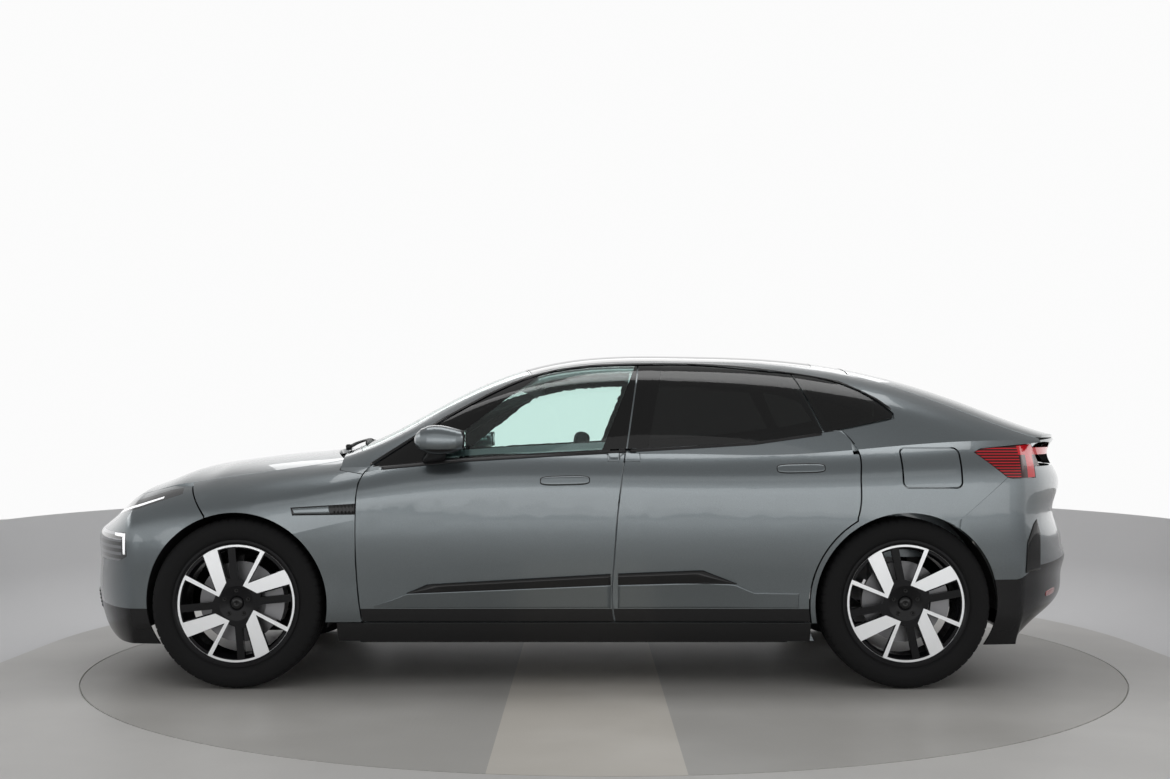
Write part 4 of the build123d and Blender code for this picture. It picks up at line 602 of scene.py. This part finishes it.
def rounded_plate(low, high, square=5.0, slant=0.0, columns=28, rows=9):
    """Grid over a superellipse between two corners: |x|^n + |z|^n = 1, with n = square."""
    u = np.linspace(-1, 1, columns)[None, :]
    v = np.linspace(-1, 1, rows)[:, None]
    u = np.sin(u * np.pi / 2)
    tall = (1 - np.abs(u) ** square) ** (1 / square)
    tall = np.maximum(tall, 0.02)
    x = (low[0] + high[0]) / 2 + u * (high[0] - low[0]) / 2 + 0 * v
    z = (low[1] + high[1]) / 2 + v * tall * (high[1] - low[1]) / 2 + slant * (x - low[0])
    return x, z


sides = {"left": -1, "right": 1}
strips = {
    "front": ([(-0.783, 0.4275), (-0.450, 0.441), (0.129, 0.466)],
              [(-0.783, 0.430), (-0.690, 0.469), (0.129, 0.516)]),
    "rear": ([(0.162, 0.4665), (0.420, 0.4735), (0.690, 0.470)],
             [(0.162, 0.5175), (0.540, 0.5325), (0.694, 0.472)])}
# under the strips the doors stand proud along a crease, and turn in from it to the sill
folds = {"front": ([-0.930, -0.850, -0.780, -0.400, 0.129], [0.372, 0.397, 0.427, 0.4430, 0.4660]),
         "rear": ([0.162, 0.550, 0.680, 0.770, 0.970], [0.4665, 0.4770, 0.4700, 0.430, 0.428])}
fold_lift, strip_lift = (np.array(rise)[:, None] for rise in (
    (0.0004, 0.0010, 0.0046, 0.0084, 0.0122, 0.0130),
    (0.0130, 0.0130, 0.0128, 0.0124, 0.0120, 0.0040)))
fold_ends = (-0.930, -0.750, 0.640, 0.800, 0.970), (0.08, 1.0, 1.0, 0.35, 0.25)
for end, (run, crease) in folds.items():
    flat_fold = band([(x, door_foot + 0.004) for x in run], list(zip(run, crease)))
    flat_strip = band(*strips[end])
    for word, side in sides.items():
        door = f"{end}_{word}_door"
        fold = laid_on(f"{door}_fold", flat_fold, 1, side, nodes[door], paint,
                       fold_lift * np.interp(flat_fold[0], *fold_ends), 0.002, 1.0)
        strip = laid_on(f"{door}_strip", flat_strip, 1, side, nodes[door], gloss_black,
                        strip_lift * np.interp(flat_strip[0], *fold_ends), border=1.0)
        for piece, slot in ((fold, "paint"), (strip, "trim_gloss")):
            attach(piece, door)

# ---------------------------------------------------------------- door handles
# Flush handles in the body colour.  Each sits in a shallow black seat that shows as a
# dark line all round it.
handles = {"front": ((-0.187, 0.908), (0.037, 0.952)), "rear": ((0.872, 0.962), (1.091, 1.006))}
handle_slant, seat_line = 0.02, 0.004
for end, (low, high) in handles.items():
    for word, side in sides.items():
        door = f"{end}_{word}_door"
        seat = laid_on(f"{door}_handle_seat", rounded_plate(low, high, 4.0, handle_slant), 1, side,
                       nodes[door], satin_black, lift=0.0008, sink=0.002)
        plate = laid_on(f"{door}_handle", rounded_plate(
            (low[0] + seat_line, low[1] + seat_line), (high[0] - seat_line, high[1] - seat_line),
            4.0, handle_slant), 1, side, nodes[door], paint, lift=0.0024, sink=0.001)
        for piece, slot in ((seat, "trim_matte"), (plate, "paint")):
            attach(piece, door)

# ---------------------------------------------------------------- wing vents
# A slim framed vent behind each front wheel: a black frame, a painted blade inside it
# and a grille of black slats at its back.
vent_low, vent_high = [(-1.290, 0.7765), (-1.012, 0.7805)], [(-1.299, 0.812), (-1.012, 0.8295)]
blade_low, blade_high = [(-1.283, 0.7825), (-1.122, 0.785)], [(-1.290, 0.8075), (-1.128, 0.8175)]
slat_places = np.linspace(-1.104, -1.022, 6)
for word, side in sides.items():
    wing = nodes["front_wings"]
    frame_piece = laid_on(f"{word}_vent_frame", band(vent_low, vent_high), 1, side, wing,
                          gloss_black, lift=0.0012)
    blade = laid_on(f"{word}_vent_blade", band(blade_low, blade_high), 1, side, wing, paint,
                    lift=0.0040)
    parts = [frame_piece, blade]
    for index, x in enumerate(slat_places):
        slat = laid_on(f"{word}_vent_slat_{index}",
                       band([(x, 0.786), (x + 0.007, 0.786)],
                            [(x - 0.004, 0.823), (x + 0.003, 0.823)], 6),
                       1, side, wing, gloss_black, lift=0.0045)
        parts.append(slat)
    for piece in parts:
        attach(piece, "car")

# ---------------------------------------------------------------- window surrounds
# Black rubber and gloss trim round the side glass: a strip along the upper edge that
# runs from the mirror to the tail, and a belt strip on each door.
upper_line = [(-0.953, 0.990), (-0.865, 1.047), (-0.784, 1.100), (-0.700, 1.155), (-0.615, 1.209),
              (-0.520, 1.262), (-0.433, 1.311), (-0.340, 1.357), (-0.244, 1.398), (-0.115, 1.431),
              (0.058, 1.453), (0.226, 1.459), (0.390, 1.460), (0.554, 1.459), (0.720, 1.447),
              (0.874, 1.427), (1.040, 1.402), (1.194, 1.373), (1.290, 1.325), (1.350, 1.291),
              (1.410, 1.243)]
belt_line = {"front": [(-0.905, 0.995), (-0.550, 1.030), (-0.180, 1.052), (0.200, 1.072)],
             "rear": [(0.218, 1.073), (0.520, 1.090), (0.780, 1.106), (1.090, 1.150)]}
strip_gap, strip_wide = 0.008, 0.011


def beside(line, off):
    """A line of side-view places moved off to its left by a distance."""
    line = np.array(line)
    run = np.gradient(line, axis=0)
    run /= np.linalg.norm(run, axis=1, keepdims=True)
    return line + off * np.stack([-run[:, 1], run[:, 0]], -1)


for word, side in sides.items():
    strip = laid_on(f"{word}_roof_strip", band(beside(upper_line, strip_gap),
                                               beside(upper_line, strip_gap + strip_wide), 120),
                    1, side, nodes["body_shell"], gloss_black, lift=0.0030, sink=0.001)
    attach(strip, "car")
for end, line in belt_line.items():
    for word, side in sides.items():
        door = f"{end}_{word}_door"
        low = [(x, z - 0.016) for x, z in line]
        high = [(x, z - 0.004) for x, z in line]
        strip = laid_on(f"{door}_belt", band(low, high, 60), 1, side, nodes[door], satin_black,
                        lift=0.003)
        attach(strip, door)

# Painted corners that close each door's shoulder beside the middle pillar: they follow
# the sheet metal next to them.
corners_at = {"front": ((0.000, 0.105), (0.116, 0.170)), "rear": ((0.275, 0.380), (0.194, 0.264))}
for end, (near, patch) in corners_at.items():
    for word, side in sides.items():
        door = f"{end}_{word}_door"
        z, x = np.meshgrid(np.linspace(0.985, 1.050, 12), np.linspace(*near, 12), indexing="ij")
        known = dropped(np.stack([x, np.full_like(x, side * 3.0), z], -1), 1, nodes[door])

        def terms(x, z):
            return np.stack([np.ones_like(x), x, z, z * z, x * z], -1)
        fit = np.linalg.lstsq(terms(x, z).reshape(-1, 5), known[..., 1].ravel(), rcond=None)[0]
        z, x = np.meshgrid(np.linspace(1.016, 1.074, 8), np.linspace(*patch, 10), indexing="ij")
        outer = np.stack([x, terms(x, z) @ fit + side * 0.0010, z], -1)
        piece = closed_slab(f"{door}_corner", outer, outer - (0, side * 0.004, 0), door_paint)
        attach(piece, door)


def swept(name, path, wide, tall, finish, square=3.0, around=16, up=(0, 0, 1)):
    """A superellipse section carried along a path: side and top follow the path's
    direction, and the width and height may change from end to end."""
    path = np.array(path, float)
    along = np.gradient(path, axis=0)
    along /= np.linalg.norm(along, axis=1, keepdims=True)
    across = np.cross(along, up)
    across /= np.linalg.norm(across, axis=1, keepdims=True)
    top = np.cross(across, along)
    wide = np.broadcast_to(np.asarray(wide, float), len(path))[:, None, None]
    tall = np.broadcast_to(np.asarray(tall, float), len(path))[:, None, None]
    u = np.linspace(0, 2 * math.pi, around, endpoint=False)
    cu = np.sign(np.cos(u)) * np.abs(np.cos(u)) ** (2 / square)
    su = np.sign(np.sin(u)) * np.abs(np.sin(u)) ** (2 / square)
    points = (path[:, None] + across[:, None] * cu[None, :, None] * wide / 2
              + top[:, None] * su[None, :, None] * tall / 2)
    faces = grid_faces(len(path), around, False, True).tolist()
    ends = [list(range(around)), [(len(path) - 1) * around + i for i in range(around)]]
    piece = to_object(name, points, faces + ends, finish)
    return settle(piece)


def smooth_path(knots, count):
    """Places along knots of any width, by a natural blend of straight runs."""
    knots = np.array(knots, float)
    at = np.linspace(0, len(knots) - 1, count)
    rough = np.stack([np.interp(at, np.arange(len(knots)), knots[:, i])
                      for i in range(knots.shape[1])], -1)
    for _ in range(max(2, count // 8)):
        rough[1:-1] = (rough[:-2] + 2 * rough[1:-1] + rough[2:]) / 4
    return rough


# ---------------------------------------------------------------- door mirrors
# Painted shell over a black foot, with a flat chromed glass in a black rim that faces
# the driver.
mirror_finish = Finish("mirror_glass", (0.78, 0.80, 0.82), 0.02, 1.0)
mirror_x, mirror_mid, mirror_half = -0.5225, (0.985, 1.116), (0.050, 0.040)
for word, side in sides.items():
    u = np.linspace(0, 2 * math.pi, 48, endpoint=False)[:, None]
    ring = np.array([0.001, 0.80, 0.90, 0.93, 1.0])[None, :]
    depth = np.array([0.0, 0.0, 0.0, 0.0022, 0.0030])[None, :]

    def rounded(u, power=0.45):
        return np.sign(np.cos(u)) * np.abs(np.cos(u)) ** power, \
            np.sign(np.sin(u)) * np.abs(np.sin(u)) ** power
    cu, su = rounded(u)
    face = np.stack([mirror_x + depth + 0 * u, side * (mirror_mid[0] + mirror_half[0] * cu * ring),
                     mirror_mid[1] + mirror_half[1] * su * ring], -1)
    back = face.copy()
    back[..., 0] -= 0.024
    glass_face = face[:, :3].copy()
    glass_back = glass_face.copy()
    glass_back[..., 0] -= 0.002

    def lid(name, outer, inner, finish):
        rows, columns = outer.shape[:2]
        points = np.concatenate([outer, inner[:, ::-1]], 1)
        faces = grid_faces(rows, 2 * columns, True, True)
        piece = to_object(name, points, faces, finish)
        return settle(piece)
    glass = lid(f"{word}_mirror_glass", glass_face + (0.0004, 0, 0), glass_back, mirror_finish)
    rim = lid(f"{word}_mirror_rim", face[:, 1:], back[:, 1:], satin_black)
    for piece, slot in ((glass, "glass"), (rim, "trim_matte")):
        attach(piece, f"front_{word}_door")
# the housing's sections from its nose back to the glass: place, foot, top, inner and
# outer edge
housing = np.array([
    (-0.7480, 1.104, 1.114, 0.965, 0.985), (-0.7450, 1.094, 1.127, 0.948, 1.005),
    (-0.7350, 1.080, 1.145, 0.934, 1.027), (-0.7150, 1.064, 1.163, 0.920, 1.047),
    (-0.6850, 1.052, 1.176, 0.910, 1.060), (-0.6550, 1.047, 1.180, 0.906, 1.066),
    (-0.6200, 1.047, 1.178, 0.905, 1.068), (-0.5850, 1.052, 1.171, 0.906, 1.067),
    (-0.5550, 1.061, 1.163, 0.912, 1.060), (-0.5340, 1.070, 1.157, 0.924, 1.046),
    (-0.5260, 1.075, 1.153, 0.934, 1.037)])
at = np.linspace(0, len(housing) - 1, 61)
x, foot, top, inner, outer = (np.interp(at, np.arange(len(housing)), housing[:, i])[:, None]
                              for i in range(5))
u = np.linspace(0, 2 * math.pi, 56, endpoint=False)[None, :]
cu, su = rounded(u, 0.80)
for word, side in sides.items():
    shell = np.stack([x + 0 * u, side * ((inner + outer) / 2 + (outer - inner) / 2 * cu),
                      (foot + top) / 2 + (top - foot) / 2 * su], -1)
    ends = [list(range(56)), [60 * 56 + i for i in range(56)]]
    cover = settle(to_object(f"{word}_mirror_housing", shell,
                             grid_faces(61, 56, False, True).tolist() + ends, mirror_paint))
    stalk_line = np.array([(-0.672, side * 0.890, 1.014), (-0.664, side * 0.918, 1.028),
                           (-0.652, side * 0.948, 1.046), (-0.645, side * 0.972, 1.072)])
    stalk = swept(f"{word}_mirror_foot", smooth_path(stalk_line, 16), np.linspace(0.105, 0.080, 16),
                  0.028, satin_black)
    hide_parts(f"{word}_mirror")
    for piece, slot in ((cover, "paint"), (stalk, "trim_matte")):
        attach(piece, f"front_{word}_door")

# ---------------------------------------------------------------- headlamps
# A slim upper lamp that runs back along the bonnet's edge, and a deep lower one, both
# behind smoked lenses.  White light guides draw a line in one and a hook in the other.
head_lens = Finish("smoked_lens", (0.020, 0.021, 0.023), 0.06, coat_weight=1.0, coat_roughness=0.02)
place, px, py, pz = head_lens.place()
lower_lamp = pz < 0.700
rows_of_lens = (pz.fold(0.030) < 0.0065) * lower_lamp * (px < -2.075)
head_lens.set("Base Color", head_lens.blend(rows_of_lens, (0.020, 0.021, 0.023),
                                            (0.30, 0.31, 0.33)))
head_lens.set("Metallic", rows_of_lens)
head_lens.bump((px * 1500.0).wave() * lower_lamp, 0.06, 0.0006)
paint_over(head_lens, "headlamps")
guide = Finish("light_guide", (0.90, 0.92, 0.95), 0.25, emission_strength=0.55)
guide.set("Emission Color", (1.0, 1.0, 1.0, 1.0))
place, px, py, pz = guide.place()
guide.bump((px * 700.0).wave() + (pz * 700.0).wave(), 0.1, 0.0006)
upper_guide = ([(-2.190, 0.7640), (-2.100, 0.7870), (-2.010, 0.8110), (-1.900, 0.8480)],
               [(-2.190, 0.7705), (-2.100, 0.7960), (-2.010, 0.8220), (-1.900, 0.8560)])
hook = {"hook_top": ([(-2.120, 0.6800), (-2.052, 0.6765)], [(-2.125, 0.6925), (-2.052, 0.6925)]),
        "hook_side": ([(-2.0640, 0.5985), (-2.0520, 0.5985)],
                       [(-2.0680, 0.6765), (-2.0520, 0.6765)])}
for word, side in sides.items():
    lines = {"upper": upper_guide, **hook}
    for name, (low, high) in lines.items():
        piece = laid_on(f"{word}_lamp_{name}", band(low, high, 36 if name == "upper" else 10, 0.15),
                        1, side, nodes["headlamps"], guide, lift=0.0016, sink=0.002)
        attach(piece, "car")

# ---------------------------------------------------------------- tail lamps
# Deep red moulded lenses: a broad upright light, fine ribs ahead of it, and a bar across
# the tailgate that joins the two sides.
tail_lens = Finish("red_lens", (0.16, 0.006, 0.008), 0.10, coat_weight=0.4, coat_roughness=0.03,
                   emission_strength=0.16, specular_ior_level=0.3)
place, px, py, pz = tail_lens.place()
upright = (px > 2.004) * (px < 2.050) * (pz < 1.085)
ribs = (pz.fold(0.0125) < 0.0022) * (px < 1.965)
light_bar = (pz > 1.046) * (px > 1.965)
lit = upright.most(ribs).most(light_bar)
tail_lens.set("Base Color", tail_lens.blend(lit, (0.050, 0.002, 0.003), (0.42, 0.006, 0.012)))
tail_lens.set("Emission Color", tail_lens.blend(lit, (0.0, 0.0, 0.0), (1.0, 0.02, 0.03)))
tail_lens.bump((py * 1400.0).wave() + (pz * 1100.0).wave(), 0.08, 0.0006)
paint_over(tail_lens, "tail_lamps", "tailgate_lamp")

# ---------------------------------------------------------------- wipers
# Two black arms parked along the foot of the windscreen, each with a rubber blade held
# by a slim beam.
def on_top(places, target, lift):
    """Places seen from above, set down on a panel and raised by lift."""
    places = np.array(places, float)
    grid = np.stack([places, places + (0.0005, 0)])
    points = np.concatenate([grid, np.full((*grid.shape[:2], 1), 3.0)], -1)
    return dropped(points, 2, target)[0] + (0, 0, lift)


screen = nodes["windscreen"]
wipers = {"near": ((-1.106, -0.585, 1.076), (-1.024, -0.590), (-1.066, 0.020)),
          "far": ((-1.128, 0.020, 1.052), (-1.066, 0.060), (-1.024, 0.610))}
for name, (pivot, start, end) in wipers.items():
    blade_places = smooth_path([start, end], 40)
    blade_line = on_top(blade_places, screen, 0.008)
    share = np.linspace(0, 1, 40)
    blade = swept(f"wiper_blade_{name}", blade_line, 0.012 * (0.5 + np.sin(share * math.pi) * 0.5),
                  0.016, satin_black)
    middle = blade_line[19]
    root = np.array(pivot)
    knee = blade_line[8] + (-0.022, 0, 0.004)
    arm_line = smooth_path([root, (root + knee) / 2 + (0, 0, 0.004), knee,
                            middle + (-0.004, 0, 0.010), middle + (0.004, 0.02, 0.004)], 30)
    arm = swept(f"wiper_arm_{name}", arm_line, np.linspace(0.024, 0.012, 30),
                np.linspace(0.014, 0.007, 30), satin_black)
    knob = turned(f"wiper_pivot_{name}", [(-0.016, 0.0002), (-0.016, 0.013), (0.004, 0.016),
                                          (0.010, 0.012), (0.012, 0.0002)],
                  (0, 0, 0), 1, satin_black, 32)
    flat = coordinates(knob.data)
    upright_points = np.stack([flat[:, 0], flat[:, 2], flat[:, 1]], -1) + root + (0, 0, 0.004)
    knob.data.vertices.foreach_set("co", upright_points.ravel())
    settle(knob)
    for piece in (blade, arm, knob):
        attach(piece, "car")

# ---------------------------------------------------------------- bumper fittings
# Upright black blades and small red reflectors at the rear corners, a slatted lower
# intake at the nose, a ribbed lower panel at the tail, and a blank plate at each end.
plate_white = Finish("blank_plate", (0.74, 0.75, 0.74), 0.45)
plate_white.bump(plate_white.noise(260.0, 2.0), 0.08, 0.0004)
reflector = Finish("reflector_red", (0.38, 0.010, 0.012), 0.15, coat_weight=1.0)
place, px, py, pz = reflector.place()
reflector.bump((py * 1800.0).wave() + (pz * 1800.0).wave(), 0.3, 0.0005)
fin = band([(1.990, 0.517), (2.079, 0.526)], [(1.997, 0.660), (2.035, 0.735), (2.060, 0.757),
                                              (2.079, 0.700)], 14)
for word, side in sides.items():
    blade = laid_on(f"{word}_rear_blade", fin, 1, side, nodes["rear_bumper"], gloss_black,
                    lift=0.005)
    spot = laid_on(f"{word}_reflector", rounded_plate((2.130, 0.392), (2.215, 0.418), 4.0, 0.08),
                   1, side, nodes["rear_bumper"], reflector, lift=0.003)
    for piece, slot in ((blade, "trim_gloss"), (spot, "lamp_tail")):
        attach(piece, "car")


def end_plate(name, side, target, low, high, finish, lift, square=8.0):
    """A plate facing along the car, between two (across, up) corners."""
    piece = laid_on(name, rounded_plate(low, high, square, 0.0, 40), 0, side, nodes[target], finish,
                    lift=lift)
    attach(piece, "car")
    return piece


intake = end_plate("nose_intake", -1, "front_bumper", (-0.52, 0.300), (0.52, 0.405), satin_black,
                   0.0015, 9.0)
for index, z in enumerate(np.linspace(0.318, 0.388, 5)):
    slat = end_plate(f"nose_slat_{index}", -1, "front_bumper", (-0.49, z - 0.004),
                     (0.49, z + 0.004), gloss_black, 0.006)
diffuser = end_plate("tail_panel", 1, "rear_bumper", (-0.50, 0.235), (0.50, 0.345), satin_black,
                     0.0015, 9.0)
for index, y in enumerate(np.linspace(-0.36, 0.36, 5)):
    rib = end_plate(f"tail_rib_{index}", 1, "rear_bumper", (y - 0.006, 0.240), (y + 0.006, 0.338),
                    gloss_black, 0.008)
for name, side, target, z in (("nose", -1, "front_bumper", 0.470),
                              ("tail", 1, "rear_bumper", 0.600)):
    holder = end_plate(f"{name}_plate_frame", side, target, (-0.268, z - 0.064), (0.268, z + 0.064),
                       satin_black, 0.003, 14.0)
    sheet = end_plate(f"{name}_plate", side, target, (-0.260, z - 0.056), (0.260, z + 0.056),
                      plate_white, 0.0055, 14.0)

# ---------------------------------------------------------------- seats
# Foam pads under fine woven cloth: a cushion, a back and a headrest for each front seat
# and a three-place bench behind, with piped seams and sewn channels.
cloth = Finish("seat_weave", (0.060, 0.062, 0.066), 0.85, sheen_weight=0.25)
place, px, py, pz = cloth.place()
warp = (py * 2600.0).wave() * (pz * 2600.0).wave() + (px * 2600.0).wave() * 0.5
cloth.set("Base Color", cloth.blend(cloth.noise(60.0, 4.0, place), (0.048, 0.050, 0.054),
                                    (0.082, 0.084, 0.088)))
cloth.bump(warp, 0.25, 0.0006)


def pad_form(centre, half, lean, square=(0.42, 0.42), crown=0.0, seams=(), depth=0.006,
             rows=64, around=96):
    """A superellipsoid of half sizes (along, across, up), leant back about Y.  Its top
    bulges by crown, and narrow grooves of a depth run round it at each seam's place across."""
    v = np.linspace(-math.pi / 2, math.pi / 2, rows)[:, None]
    u = np.linspace(0, 2 * math.pi, around, endpoint=False)[None, :]

    def power(value, share):
        return np.sign(value) * np.abs(value) ** share
    x = power(np.cos(v), square[0]) * power(np.cos(u), square[1])
    y = power(np.cos(v), square[0]) * power(np.sin(u), square[1])
    z = power(np.sin(v), square[0]) + 0 * u
    z = z * (1 + crown * (1 - x ** 2) * (1 - y ** 2))
    points = np.stack([x * half[0], y * half[1], z * half[2]], -1)
    groove = sum((np.exp(-((np.abs(points[..., 1]) - place) / 0.006) ** 2) for place in seams),
                 np.zeros(points.shape[:2]))
    points[..., 2] -= depth * groove * np.sign(points[..., 2]) * (np.abs(z) > 0.5)
    lean = math.radians(lean)
    turned_x = points[..., 0] * math.cos(lean) + points[..., 2] * math.sin(lean)
    turned_z = -points[..., 0] * math.sin(lean) + points[..., 2] * math.cos(lean)
    return np.stack([turned_x + centre[0], points[..., 1] + centre[1], turned_z + centre[2]], -1)


def pad(name, centre, half, lean, fill=0.7, swell=0.010, **form):
    """One pad: the form is blown up a little as cloth over foam, no point moving further than
    swell.
    """
    points = pad_form(centre, half, lean, **form)
    rows, around = points.shape[:2]
    piece = to_object(name, points, grid_faces(rows, around, False, True), cloth)
    settle(piece)
    before = coordinates(piece.data)
    blow = piece.modifiers.new("blow", "CLOTH")
    blow.settings.use_pressure = True
    blow.settings.uniform_pressure_force = 4.0
    blow.settings.effector_weights.gravity = 0.0
    for step in range(1, 13):
        scene.frame_set(step)
    settle(piece)
    scene.frame_set(1)
    after = coordinates(piece.data)
    if len(after) == len(before):
        move = after - before
        far = np.linalg.norm(move, axis=1, keepdims=True)
        move *= np.minimum(1.0, swell / np.maximum(far, 1e-9))
        piece.data.vertices.foreach_set("co", (before + move).ravel())
    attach(piece, "car")
    return piece


seat_lean = 14.0
for word, side in sides.items():
    y = 0.380 * side
    pad(f"{word}_seat_cushion", (-0.345, y, 0.575), (0.245, 0.235, 0.062), -4.0,
                    seams=(0.13,), crown=-0.12)
    pad(f"{word}_seat_back", (-0.055, y, 0.835), (0.050, 0.225, 0.215), seat_lean,
                    seams=(), crown=0.0)
    pad(f"{word}_headrest", (-0.004, y, 1.098), (0.036, 0.120, 0.050), seat_lean - 6,
                    rows=40, around=64)
pad("rear_cushion", (0.690, 0.0, 0.570), (0.145, 0.630, 0.062), -8.0,
                seams=(0.21,), around=160)
pad("rear_back", (0.902, 0.0, 0.800), (0.036, 0.630, 0.150), 12.0, around=160)
seat_shell = Finish("seat_shell", (0.030, 0.030, 0.032), 0.5)
seat_shell.bump(seat_shell.noise(900.0, 3.0), 0.25, 0.0005)
shells = []
for word, side in sides.items():
    y = 0.380 * side
    base_form = pad_form((-0.350, y, 0.425), (0.215, 0.215, 0.088), 0.0, square=(0.25, 0.3),
                         rows=32, around=48)
    shells.append(settle(to_object(f"{word}_seat_base", base_form,
                                   grid_faces(32, 48, False, True), seat_shell)))
bench_form = pad_form((0.735, 0.0, 0.420), (0.200, 0.630, 0.085), 0.0, square=(0.2, 0.25),
                      rows=32, around=96)
shells.append(settle(to_object("rear_seat_base", bench_form, grid_faces(32, 96, False, True),
                               seat_shell)))
for shell in shells:
    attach(shell, "car")
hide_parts("seats")

# ---------------------------------------------------------------- fascia and steering wheel
# A low fascia wrapped in soft plastic, a portrait screen that stands at its middle, and
# a leather-rimmed steering wheel with three spokes.
soft_plastic = Finish("soft_fascia", (0.045, 0.046, 0.050), 0.65)
soft_plastic.bump(soft_plastic.noise(500.0, 5.0), 0.3, 0.0006)
paint_over(soft_plastic, "dashboard")
leather = Finish("rim_leather", (0.022, 0.022, 0.024), 0.5)
cells = leather.node("ShaderNodeTexVoronoi", {"feature": "DISTANCE_TO_EDGE"},
                     Vector=leather.node("ShaderNodeTexCoord", output="Object"), Scale=420.0)
leather.bump(cells, 0.35, 0.0005)
wheel_middle, wheel_tilt = np.array((-0.563, -0.380, 0.905)), math.radians(25.0)
wheel_out = np.array((math.cos(wheel_tilt), 0, math.sin(wheel_tilt)))
wheel_side = np.array((0, 1.0, 0))
wheel_up = np.array((-math.sin(wheel_tilt), 0, math.cos(wheel_tilt)))


def in_wheel(across, up, out):
    """A point of the steering wheel from its own axes."""
    return (wheel_middle + np.multiply.outer(across, wheel_side) + np.multiply.outer(up, wheel_up)
            + np.multiply.outer(out, wheel_out))


u = np.linspace(0, 2 * math.pi, 96, endpoint=False)[:, None]
v = np.linspace(0, 2 * math.pi, 24, endpoint=False)[None, :]
rim_r, grip = 0.169, 0.0140
flat_foot = 1 - 0.10 * np.exp(-((u - math.pi) / 0.42) ** 2)
ring_at = (rim_r + grip * np.cos(v)) * flat_foot
rim_piece = settle(to_object("steering_rim", in_wheel(ring_at * np.sin(u), ring_at * np.cos(u),
                                                      0.013 + grip * np.sin(v) + 0 * u),
                             grid_faces(96, 24, True, True), leather))
hub = settle(to_object("steering_hub", wheel_middle + pad_form(
    (0, 0, 0), (0.020, 0.062, 0.050), 0, square=(0.5, 0.6), rows=32, around=48) @ np.stack(
        [wheel_out, wheel_side, wheel_up]) + 0.012 * wheel_out, grid_faces(32, 48, False, True),
    soft_plastic))
spokes = []
for name, (a, b) in {"left": ((-0.05, 0.0), (-0.163, 0.01)), "right": ((0.05, 0.0), (0.163, 0.01)),
                     "foot": ((0.0, -0.04), (0.0, -0.148))}.items():
    knots = smooth_path([(*a, 0.012), (*b, 0.012)], 12)
    line = in_wheel(knots[:, 0], knots[:, 1], knots[:, 2])
    spokes.append(swept(f"steering_spoke_{name}", line, 0.030, 0.012, gloss_black,
                        up=tuple(wheel_out)))
column = swept("steering_column", smooth_path([wheel_middle - 0.150 * wheel_out, wheel_middle], 8),
               0.05, 0.06, soft_plastic, square=3.0, up=(0, 1, 0))
for piece in (rim_piece, hub, column, *spokes):
    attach(piece, "car")
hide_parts("steering_wheel")
screen_glass = Finish("screen_glass", (0.010, 0.011, 0.014), 0.05, coat_weight=1.0)
panel_y, panel_z = np.meshgrid(np.linspace(-0.12, 0.12, 12), np.linspace(0.83, 1.045, 12))
panel = np.stack([-0.660 + 0.06 * (panel_z - 0.83) / 0.215 + 0 * panel_y, panel_y, panel_z], -1)
screen_piece = closed_slab("centre_screen", panel + (0.004, 0, 0), panel - (0.006, 0, 0),
                           screen_glass)
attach(screen_piece, "car")
